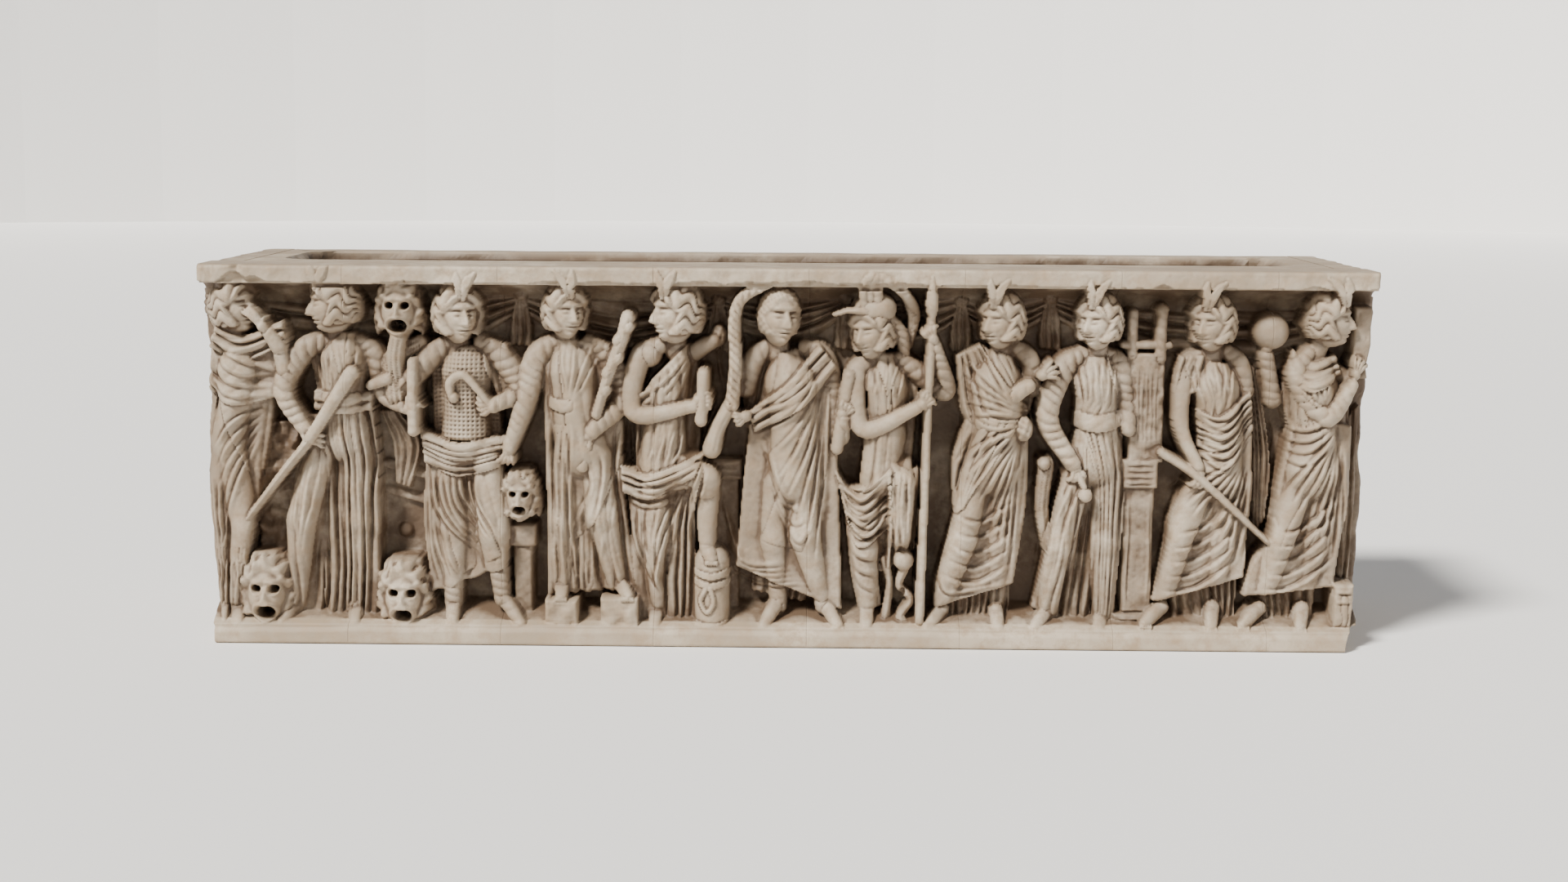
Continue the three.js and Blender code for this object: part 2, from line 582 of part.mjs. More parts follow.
// A theatre mask: a full face with hollow eyes and an open mouth under a mop of hair.
function mask({ at, wide, high }) {
  const [across, up, out] = at;
  let face = egg([across, up, out - 8], [wide, high, 30], 0, HEAD_SIDES + 1, HEAD_RINGS);
  for (const side of [-1, 1]) {
    face = face.subtract(
      egg([across + side * wide * 0.36, up + high * 0.06, out + 20], [5, 4, 10], 0, 4, 2),
    );
  }
  face = face.subtract(egg([across, up - high * 0.52, out + 18], [10, 6, 12], 0, 4, 2));
  return face.add(egg([across, up - high * 0.16, out + 20], [5, 8, 7], 0, 4, 2));
}

// The curtain behind the figures: swags between the ties, each with its hanging folds.
function curtain() {
  const swags = [];
  for (let i = 0; i + 1 < CURTAIN_TIES.length; i++) {
    const [[x0, z0], [x1, z1]] = [CURTAIN_TIES[i], CURTAIN_TIES[i + 1]];
    const line = (drop) =>
      [0, 0.25, 0.5, 0.75, 1].map((t) => [
        x0 + (x1 - x0) * t,
        z0 + (z1 - z0) * t - 4 * CURTAIN_SAG * t * (1 - t) - drop * (0.35 + 2.6 * t * (1 - t)),
      ]);
    const cloth = { left: line(0), right: line(CURTAIN_DROP) };
    const columns = CURTAIN_FOLDS * 2;
    swags.push(
      solid(
        reshape(new THREE.BoxGeometry(1, 1, 1, columns, 4, 1), (vertex) => {
          const s = vertex.x + 0.5;
          const t = 0.5 - vertex.y;
          const point = guideAt(cloth.left, t).lerp(guideAt(cloth.right, t), s);
          const crest = Math.round(s * columns) % 2 ? CURTAIN_OUT : CURTAIN_OUT * 0.45;
          return place(point.x, point.y, vertex.z < 0 ? ROOT : crest);
        }),
      ),
    );
  }
  return swags;
}

// The trough's cross-section: back, rim, hollow under the rim, ground of the relief and ledge.
function troughSection() {
  const shape = new THREE.Shape();
  const back = DEPTH / 2;
  const hollowTop = HEIGHT - RIM_HEIGHT;
  shape.moveTo(RIM_Y, 0);
  shape.lineTo(back, 0);
  shape.lineTo(back, HEIGHT);
  shape.lineTo(RIM_Y, HEIGHT);
  shape.lineTo(RIM_Y, hollowTop);
  shape.lineTo(GROUND_Y - HOLLOW_DEPTH, hollowTop);
  shape.quadraticCurveTo(GROUND_Y, hollowTop, GROUND_Y, hollowTop - HOLLOW_HEIGHT);
  shape.lineTo(GROUND_Y, LEDGE_HEIGHT + LEDGE_RISE);
  shape.lineTo(RIM_Y, LEDGE_HEIGHT);
  return shape;
}

function trough() {
  const geometry = new THREE.ExtrudeGeometry(troughSection(), {
    depth: LENGTH,
    bevelEnabled: false,
    curveSegments: 4,
  });
  // The section lies in x and y and is drawn out along z: x becomes the depth, y the height.
  reshape(geometry, (v) => {
    const half = LENGTH / 2 - (v.y > LEDGE_HEIGHT + LEDGE_RISE ? RIM_INSET : LEDGE_INSET);
    return new THREE.Vector3(v.z > 0 ? half : -half, v.x, v.y);
  });
  return solid(geometry);
}

// The burial space: open above, with rounded corners.
function cavity() {
  const low = new THREE.Vector2(-LENGTH / 2 + END_WALL, GROUND_Y + FRONT_WALL);
  const high = new THREE.Vector2(LENGTH / 2 - END_WALL, DEPTH / 2 - BACK_WALL);
  const r = CAVITY_CORNER;
  const shape = new THREE.Shape();
  shape.moveTo(low.x + r, low.y);
  shape.lineTo(high.x - r, low.y);
  shape.absarc(high.x - r, low.y + r, r, -Math.PI / 2, 0);
  shape.lineTo(high.x, high.y - r);
  shape.absarc(high.x - r, high.y - r, r, 0, Math.PI / 2);
  shape.lineTo(low.x + r, high.y);
  shape.absarc(low.x + r, high.y - r, r, Math.PI / 2, Math.PI);
  shape.lineTo(low.x, low.y + r);
  shape.absarc(low.x + r, low.y + r, r, Math.PI, Math.PI * 1.5);
  const geometry = new THREE.ExtrudeGeometry(shape, {
    depth: HEIGHT,
    bevelEnabled: false,
    curveSegments: 4,
  });
  return solid(geometry.translate(0, 0, FLOOR_THICKNESS));
}

// The dressed field of each short end, sunk between the rim and the ledge.
function endField(side) {
  const wide = DEPTH / 2 - GROUND_Y + 2;
  const geometry = new THREE.BoxGeometry(END_INSET * 2, wide, PANEL_HEIGHT);
  return solid(
    geometry.translate((side * LENGTH) / 2, GROUND_Y + wide / 2, LEDGE_HEIGHT + PANEL_HEIGHT / 2),
  );
}

// On each short end a shallow swag hangs from two corners, and the curtain's end falls by the front.
const SWAG_RADIUS = 10;
const SWAG_INSET = 34;
const SWAG_TOP = 70;
const SWAG_SPACING = 90;
const SWAG_FOLDS = 1;
const TAIL_TOP = 545;
const TAIL_FOOT = 150;
const TAIL_WIDTH = 96;
const TAIL_FORWARD = 24;
function endCloth(side) {
  const face = side * (LENGTH / 2 - END_INSET);
  const near = GROUND_Y + SWAG_INSET;
  const far = DEPTH / 2 - SWAG_INSET;
  const pieces = [];
  for (let i = 0; i < SWAG_FOLDS; i++) {
    const top = HEIGHT - RIM_HEIGHT - SWAG_TOP;
    const low = top - (i + 1) * SWAG_SPACING;
    const arc = new THREE.CatmullRomCurve3(
      [0, 0.25, 0.5, 0.75, 1].map(
        (t) => new THREE.Vector3(face, near + (far - near) * t, top + (low - top) * 4 * t * (1 - t)),
      ),
    );
    const section = new THREE.Shape();
    section.absarc(0, 0, SWAG_RADIUS, 0, Math.PI * 2);
    const roll = new THREE.ExtrudeGeometry(section, { extrudePath: arc, steps: 4, curveSegments: 2 });
    pieces.push(solid(roll));
  }
  const tail = new THREE.BoxGeometry(1, 1, 1, 1, 3, 2);
  reshape(tail, (v) => {
    const column = Math.round((v.y + 0.5) * 3);
    const share = 0.5 + v.z;
    const full = column === 0 || column === 3 ? 0.35 : 0.8 + 0.2 * Math.sin(Math.PI * share);
    const out = v.x > 0 ? END_INSET * full : -END_INSET / 4;
    const across = GROUND_Y - TAIL_FORWARD + TAIL_WIDTH * (v.y + 0.5) * (0.6 + 0.4 * share);
    const up = TAIL_FOOT + (TAIL_TOP - TAIL_FOOT) * share;
    return new THREE.Vector3(face + side * out, across, up);
  });
  pieces.push(solid(tail));
  return pieces;
}

// Old damage: the broken lower corner on the right and the chipped rim on the left.
function damage() {
  const corner = new THREE.BoxGeometry(BROKEN_CORNER * 2, BROKEN_CORNER * 4, BROKEN_CORNER);
  corner.rotateY(THREE.MathUtils.degToRad(-38));
  corner.translate(LENGTH / 2 - LEDGE_INSET, RIM_Y, -BROKEN_CORNER * 0.1);
  const chip = new THREE.OctahedronGeometry(RIM_CHIP, 0);
  chip.scale(1.2, 0.5, 0.5);
  chip.translate(-LENGTH / 2 + RIM_CHIP * 3.2, RIM_Y, HEIGHT);
  return [solid(corner), solid(chip)];
}

// The block the chest was cut from: no carving stands out of it.
function quarriedBlock() {
  return solid(new THREE.BoxGeometry(LENGTH, DEPTH, HEIGHT).translate(0, 0, HEIGHT / 2));
}

function chest() {
  let stone = trough().subtract(cavity());
  for (const side of [-1, 1]) {
    stone = stone.subtract(endField(side));
    for (const cloth of endCloth(side)) stone = stone.add(cloth);
  }
  for (const swag of curtain()) stone = stone.add(swag);
  stone = stone.add(block(ROCK)).add(block(MASK_POST)).add(block(MASK_POST_HEAD));
  for (const figure of FIGURES) {
    let carved = null;
    for (const piece of figureSolids(figure)) carved = carved ? carved.add(piece) : piece;
    stone = stone.add(carved);
  }
  for (const face of MASKS) stone = stone.add(mask(face));
  for (const lost of damage()) stone = stone.subtract(lost);
  stone = stone.intersect(quarriedBlock());
  // Crossing limbs can shut in small hollows, which the carver leaves solid.
  return stone.decompose().reduce((a, b) => (a.volume() > b.volume() ? a : b));
}

function meshOf(made, name, material) {
  const { vertProperties, triVerts } = made.getMesh();
  const geometry = new THREE.BufferGeometry();
  geometry.setAttribute("position", new THREE.BufferAttribute(vertProperties, 3));
  geometry.setIndex(new THREE.BufferAttribute(triVerts, 1));
  geometry.computeVertexNormals();
  const mesh = new THREE.Mesh(geometry, material);
  mesh.name = name;
  return mesh;
}

const marble = new THREE.MeshStandardMaterial({ color: 0xb8ad9b, roughness: 0.7, metalness: 0 });
const sarcophagus = new THREE.Group();
sarcophagus.add(meshOf(chest(), "chest", marble));
export default sarcophagus;
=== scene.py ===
import math
import bpy
import numpy as np
from mathutils import Matrix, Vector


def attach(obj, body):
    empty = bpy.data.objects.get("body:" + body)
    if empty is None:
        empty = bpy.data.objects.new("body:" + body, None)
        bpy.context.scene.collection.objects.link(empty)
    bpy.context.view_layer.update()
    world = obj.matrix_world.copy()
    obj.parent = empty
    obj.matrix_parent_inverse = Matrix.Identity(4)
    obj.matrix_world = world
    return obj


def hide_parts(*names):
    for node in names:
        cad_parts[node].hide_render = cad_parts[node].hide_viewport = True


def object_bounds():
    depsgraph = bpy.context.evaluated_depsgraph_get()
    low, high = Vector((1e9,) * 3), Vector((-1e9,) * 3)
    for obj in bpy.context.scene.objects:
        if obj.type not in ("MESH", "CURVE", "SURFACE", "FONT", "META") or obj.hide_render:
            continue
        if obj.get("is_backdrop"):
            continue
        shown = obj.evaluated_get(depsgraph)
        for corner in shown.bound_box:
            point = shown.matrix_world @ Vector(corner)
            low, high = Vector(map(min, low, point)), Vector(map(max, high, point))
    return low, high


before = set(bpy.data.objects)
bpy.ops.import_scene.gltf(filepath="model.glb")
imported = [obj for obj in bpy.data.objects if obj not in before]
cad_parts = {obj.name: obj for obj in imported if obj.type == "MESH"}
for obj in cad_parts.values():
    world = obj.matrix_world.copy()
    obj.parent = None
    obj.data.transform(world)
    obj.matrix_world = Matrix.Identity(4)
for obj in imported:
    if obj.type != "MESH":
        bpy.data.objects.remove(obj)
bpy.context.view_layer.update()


# The worked front of the chest, one block of veined, pinkish-cream marble: its rim, its ground and
# its sloping ledge, with the curtain hung behind the figures. It is carved as a relief on a squared
# grid: across from the middle, up from the ledge, and out from the ground to the rim's plane.
HALF_ACROSS = 730
RIM_FOOT = 423.0
RIM_OUT = 75.0
ACROSS = 2.150 / (2 * HALF_ACROSS)
UPWARD = 0.623 / RIM_FOOT
OUTWARD = 0.110 / RIM_OUT
LEDGE_Z = 0.033
TOP_Z = 0.690
GROUND_Y = -0.166
BACK_Y = 0.280
CELL = 1.35
ROWS = 350
u = np.arange(-HALF_ACROSS, HALF_ACROSS + CELL / 2, CELL)
v = np.linspace(-LEDGE_Z / UPWARD, (TOP_Z - LEDGE_Z) / UPWARD, ROWS)
STEP_V = v[1] - v[0]
UU, VV = np.meshgrid(u, v)
random = np.random.default_rng(7)


def smooth(x):
    """Zero below 0, one above 1, and an even S-curve between."""
    x = np.clip(x, 0, 1)
    return x * x * (3 - 2 * x)


def blur(a, reach):
    """Each value becomes the mean of a square of 2 reach + 1 cells, done twice along each axis."""
    for axis in [*range(a.ndim)] * 2:
        wide = [(0, 0)] * a.ndim
        wide[axis] = (reach + 1, reach)
        total = np.cumsum(np.pad(a, wide, mode="edge"), axis=axis)
        n = a.shape[axis]
        ahead = np.take(total, np.arange(2 * reach + 1, 2 * reach + 1 + n), axis=axis)
        a = (ahead - np.take(total, np.arange(n), axis=axis)) / (2 * reach + 1)
    return a


def cloud(shape, reach):
    """Smoothed random values with a spread of about one."""
    a = blur(random.standard_normal(shape), reach)
    return a / a.std()


def spline(points, t):
    """The point at share t of a smooth line through the given points (Catmull-Rom)."""
    p = np.array(points, float)
    n = len(p) - 1
    x = np.clip(t, 0, 1) * n
    i = np.minimum(x.astype(int), n - 1)
    f = (x - i)[..., None]
    q = np.vstack([2 * p[0] - p[1], p, 2 * p[-1] - p[-2]])
    a, b, c, d = q[i], q[i + 1], q[i + 2], q[i + 3]
    return 0.5 * (2 * b + (c - a) * f + (2 * a - 5 * b + 4 * c - d) * f**2 + (3 * b - a - 3 * c + d) * f**3)


def window(low, high):
    """The part of the grid between two corners: its rows, its columns and its positions."""
    c0, c1 = np.searchsorted(u, (low[0] - CELL, high[0] + CELL))
    r0, r1 = np.searchsorted(v, (low[1] - CELL, high[1] + CELL))
    part = (slice(max(r0, 0), r1), slice(max(c0, 0), c1))
    return part, UU[part], VV[part]


def raise_to(part, height, where=True, drill=3.0):
    """The relief stands at least this far out in that part of the grid, and a narrow drilled line
    runs round what was raised."""
    now = relief[part]
    new = where & (height > now)
    relief[part] = np.where(new, height, now - drill * blur(new.astype(float), 1) * (now > 10))


def body_out(body, across, up):
    """How far out the limbs under the clothes stand: a blend of round-ended rods."""
    total = np.zeros_like(across)
    for chain in body:
        for (ax, ay, aw, ar), (bx, by, bw, br) in zip(chain[:-1], chain[1:]):
            dx, dy = bx - ax, by - ay
            t = np.clip(((across - ax) * dx + (up - ay) * dy) / (dx * dx + dy * dy), 0, 1)
            gap = np.hypot(across - ax - dx * t, up - ay - dy * t)
            radius, middle = ar + (br - ar) * t, aw + (bw - aw) * t
            round_part = middle + np.sqrt(np.clip(radius**2 - gap**2, 0, None))
            total += np.exp(np.where(gap < radius, round_part, middle - 1.6 * (gap - radius)) / 3.5)
    return 3.5 * np.log(total + 1e-9)


def drape(left, right, folds, out, lift=0, body=(), deep=5.0, hem=0.0, sway=0.02, edge=5.0, knit=0.0,
          seed=0):
    """Cloth between two guide lines. Each square finds its share s across and t along the cloth;
    the cloth lies on the body or at least at out, plus lift. Its folds run along the guides as
    rounded ridges with narrow grooves, are flatter where a limb presses, and its edges roll back."""
    ends = np.array(left + right, float)
    low, high = ends.min(0) - 12, ends.max(0) + 12
    part, U, V = window(low, high)
    wide = np.linalg.norm(spline(left, np.linspace(0, 1, 9)) - spline(right, np.linspace(0, 1, 9)), axis=1)
    tall = max(np.abs(np.diff(np.array(g, float), axis=0)).sum() for g in (left, right))
    s, t = np.meshgrid(np.linspace(0, 1, int(wide.max() * 2.4) + 4), np.linspace(0, 1, int(tall * 2.4) + 4))
    a, b = spline(left, t), spline(right, t)
    at = a + (b - a) * s[..., None]
    at[..., 1] -= hem * t**5 * np.abs(np.sin(np.pi * folds * s + seed))
    i = np.rint((at[..., 1] - V[0, 0]) / STEP_V).astype(int)
    j = np.rint((at[..., 0] - U[0, 0]) / CELL).astype(int)
    ok = (i >= 0) & (i < U.shape[0]) & (j >= 0) & (j < U.shape[1])
    cell = (i * U.shape[1] + j)[ok]
    count = np.bincount(cell, minlength=U.size).reshape(U.shape)
    shares = []
    for share in (s, t):
        total = np.bincount(cell, weights=share[ok], minlength=U.size).reshape(U.shape)
        shares.append(blur(total, 2) / np.maximum(blur(count.astype(float), 2), 1e-6))
    S, T = shares
    width = np.interp(T, np.linspace(0, 1, 9), wide)
    under = body_out(body, U, V) if body else np.full(U.shape, -99.0)
    press = smooth((under - out) / 16)
    x = folds * (S + 0.06 * np.sin(5.1 * S + 2.3 * seed) + sway * np.sin(4 * T + 3 * S + seed))
    x = 0.8 * x + 0.14 * cloud(U.shape, 15)
    crest = 1 - np.abs(2 * (x - np.floor(x)) - 1) ** 2.6
    vary = 0.85 + 0.4 * np.sin(2.4 * x + 1.7 * seed + 3 * T)
    small = np.abs(np.sin(np.pi * (1.5 * x + 0.6 * np.sin(5 * T + seed))))
    reach = 1.7 * deep * np.clip(width / max(folds, 1) / 8, 0.4, 1.3)
    height = np.maximum(under, out) + lift
    if folds:
        height = height + reach * vary * (crest - 0.8) * (1 - 0.66 * press) + 0.14 * reach * (small - 0.6)
    if knit:
        height = height - knit * (np.cos(0.58 * U) * np.cos(0.58 * V)) ** 2
    side = np.minimum(S, 1 - S) * width
    height = height - edge * (1 - np.sqrt(1 - np.clip(1 - side / edge, 0, 1) ** 2))
    rest = (1 - T) * tall
    height = height - 4 * (1 - np.sqrt(1 - np.clip(1 - rest / 4, 0, 1) ** 2))
    raise_to(part, height, blur((count > 0).astype(float), 1) > 0.45)


def egg(at, halves, turn=0, locks=0.0):
    """A rounded lump of the given half sizes across, up and out, turned in the plane."""
    a, b, c = halves if isinstance(halves, tuple) else (halves,) * 3
    part, U, V = window((at[0] - max(a, b), at[1] - max(a, b)), (at[0] + max(a, b), at[1] + max(a, b)))
    turn = math.radians(turn)
    x = ((U - at[0]) * math.cos(turn) + (V - at[1]) * math.sin(turn)) / a
    y = ((V - at[1]) * math.cos(turn) - (U - at[0]) * math.sin(turn)) / b
    inside = 1 - x**2 - y**2
    curl = locks * np.sin(6 * x + 3 * y) * np.sin(7 * y - 2 * x)
    raise_to(part, at[2] + c * np.sqrt(np.clip(inside, 0, None)) + curl, inside > 0)


def slab(low, high, taper=0.0, rough=0.6):
    """A dressed block between two corners, narrower by taper at the foot, with worn arrises."""
    part, U, V = window(low[:2], high[:2])
    tall = (V - low[1]) / (high[1] - low[1])
    middle, half = (low[0] + high[0]) / 2, (high[0] - low[0]) / 2
    side = half * (1 - taper * (1 - tall)) - np.abs(U - middle)
    near = np.minimum(side, np.minimum(V - low[1], high[1] - V))
    worn = 3 * (1 - np.sqrt(1 - np.clip(1 - near / 3, 0, 1) ** 2))
    raise_to(part, high[2] - worn + rough * cloud(U.shape, 3), near > 0)


def bare_front():
    """How far out the uncarved front stands: level with the rim above and the ledge below, the
    ground between, a quarter-round hollow under the rim and a straight slope behind the ledge."""
    hollow = np.clip((VV - (RIM_FOOT - 38)) / 38, 0, 1)
    under_rim = 62.7 * (1 - np.sqrt(1 - hollow**2))
    slope = RIM_OUT * np.clip(1 - VV / 26, 0, 1)
    ground = np.maximum(under_rim, slope)
    return np.where(VV > RIM_FOOT, RIM_OUT, np.where(VV < 0, RIM_OUT, ground))


relief = bare_front()
relief += np.where((VV > 0) & (VV < RIM_FOOT), 0.5 * cloud(relief.shape, 5), 0)
ties = [(-732, 406), (-330, 414), (-85, 410), (73, 412), (216, 410), (326, 414), (723, 406)]
for n, ((x0, y0), (x1, y1)) in enumerate(zip(ties[:-1], ties[1:])):
    span = x1 - x0
    sag = 0.10 * span + 6
    quarters = (0, 0.25, 0.5, 0.75, 1)
    lines = [[(x0 + span * t, y0 + (y1 - y0) * t - k * 4 * sag * t * (1 - t) - d) for t in quarters]
             for k, d in ((0.35, 2), (1.6, 26))]
    drape(lines[0], lines[1], folds=5, out=9, deep=9, edge=3, seed=n)
for x, y in ties[1:-1]:
    drape([(x - 5, y - 8), (x - 12, y - 40), (x - 14, y - 62)],
          [(x + 5, y - 8), (x + 12, y - 40), (x + 14, y - 66)],
          folds=4, out=11, deep=6, hem=7, edge=4)
    egg((x, y - 6, 10), (9, 8, 8), locks=1)
for low_line in (150, 182):
    drape([(-505, low_line + 20), (-440, low_line + 2), (-430, low_line)],
          [(-505, low_line + 8), (-440, low_line - 10), (-430, low_line - 12)], folds=1, out=4, edge=3)
egg((-478, 110, 2), (9, 9, 5))
slab((-657, 45, 0), (-606, 250, 24), taper=-0.1, rough=3.0)


# Muse leaning on a rock, far left: marble, wrapped in a mantle up to the throat, chin on her hand,
# legs crossed. The mantle is rolled at the neck and drawn tight over the forearm.
def pleats(first, last, count, high, wide):
    """Folds laid over the cloth already there: lines between a first and a last guide line, each a
    rounded ridge with a sharper groove along one side, dying out towards both ends."""
    for k in range(count):
        share = k / max(count - 1, 1)
        t = np.linspace(0, 1, 15)
        path = spline(first, t) * (1 - share) + spline(last, t) * share
        path += 0.8 * np.sin(9 * t[:, None] + 2.1 * k + first[0][0]) * (1, 0.4)
        part, U, V = window(path.min(0) - 3 * wide, path.max(0) + 3 * wide)
        near, aside, along = (np.full(U.shape, x) for x in (99.0, 0.0, 0.0))
        for n, (a, b) in enumerate(zip(path[:-1], path[1:])):
            d = b - a
            long = math.hypot(*d) + 1e-6
            x = np.clip(((U - a[0]) * d[0] + (V - a[1]) * d[1]) / long**2, 0, 1)
            gap = np.hypot(U - a[0] - d[0] * x, V - a[1] - d[1] * x)
            closer = gap < near
            side = np.sign((U - a[0]) * d[1] - (V - a[1]) * d[0])
            near, aside = np.where(closer, gap, near), np.where(closer, side * gap, aside)
            along = np.where(closer, (n + x) / 14, along)
        fade = smooth(4 * along) * smooth(3 * (1 - along)) * (0.75 + 0.5 * math.sin(2.7 * k + 1) ** 2)
        ridge = np.exp(-((aside / wide) ** 2))
        groove = 0.75 * np.exp(-(((aside - 1.25 * wide) / (0.55 * wide)) ** 2))
        relief[part] += high * fade * (ridge - groove) * (near < 2.9 * wide)


def tube(points, rings=0.0, twist=0.0, rough=0.0):
    """A round limb or rod along points of across, up, out and radius; rings are creases round it,
    twist is a rope's lay and rough is a scaly or knobby skin."""
    path = spline(points, np.linspace(0, 1, 6 * len(points)))
    reach = path[:, 3].max() + 3
    part, U, V = window(path[:, :2].min(0) - reach, path[:, :2].max(0) + reach)
    height, near = np.full(U.shape, -99.0), np.full(U.shape, 9999.0)
    run = 0.0
    for a, b in zip(path[:-1], path[1:]):
        d = b - a
        long = math.hypot(d[0], d[1]) + 1e-6
        t = np.clip(((U - a[0]) * d[0] + (V - a[1]) * d[1]) / long**2, 0, 1)
        gu, gv = U - a[0] - d[0] * t, V - a[1] - d[1] * t
        radius = a[3] + d[3] * t
        along, aside = run + t * long, (gu * d[1] - gv * d[0]) / long
        crease = 0.26 * along + 0.09 * aside + 0.6 * np.sin(0.11 * along) + points[0][0]
        ripple = 1.4 * rings * np.abs(np.sin(crease))
        ripple += twist * np.abs(np.sin(0.3 * along + 0.23 * aside))
        ripple += rough * np.sin(0.9 * along) * np.sin(0.9 * aside + 0.9 * along)
        gap = gu**2 + gv**2
        inside = radius**2 - gap
        out = a[2] + d[2] * t + np.sqrt(np.clip(inside, 0, None)) + ripple
        closer = (inside > 0) & (gap < near)
        height, near = np.where(closer, out, height), np.where(closer, gap, near)
        run += long
    raise_to(part, height)


def foot(heel, toe, bound=0.0):
    """A foot from the heel to the toes: instep, sole and five toes; bound winds straps round it."""
    heel, toe = (heel[0], heel[1] + 4, heel[2]), (toe[0], toe[1] + 5, toe[2])
    tube([(*heel, 9.5), ((heel[0] + toe[0]) / 2, (heel[1] + toe[1]) / 2 + 1, (heel[2] + toe[2]) / 2, 9),
          (*toe, 7.5)], rings=bound)
    for k in range(5):
        egg((toe[0] + 3.2 * (k - 2), toe[1] - 3.5, toe[2] + 4), (2.1, 3.4, 4))


def lump(x, y, cx, cy, sx, sy):
    """A soft bump of height one at cx, cy with half widths sx and sy."""
    return np.exp(-(((x - cx) / sx) ** 2) - ((y - cy) / sy) ** 2)


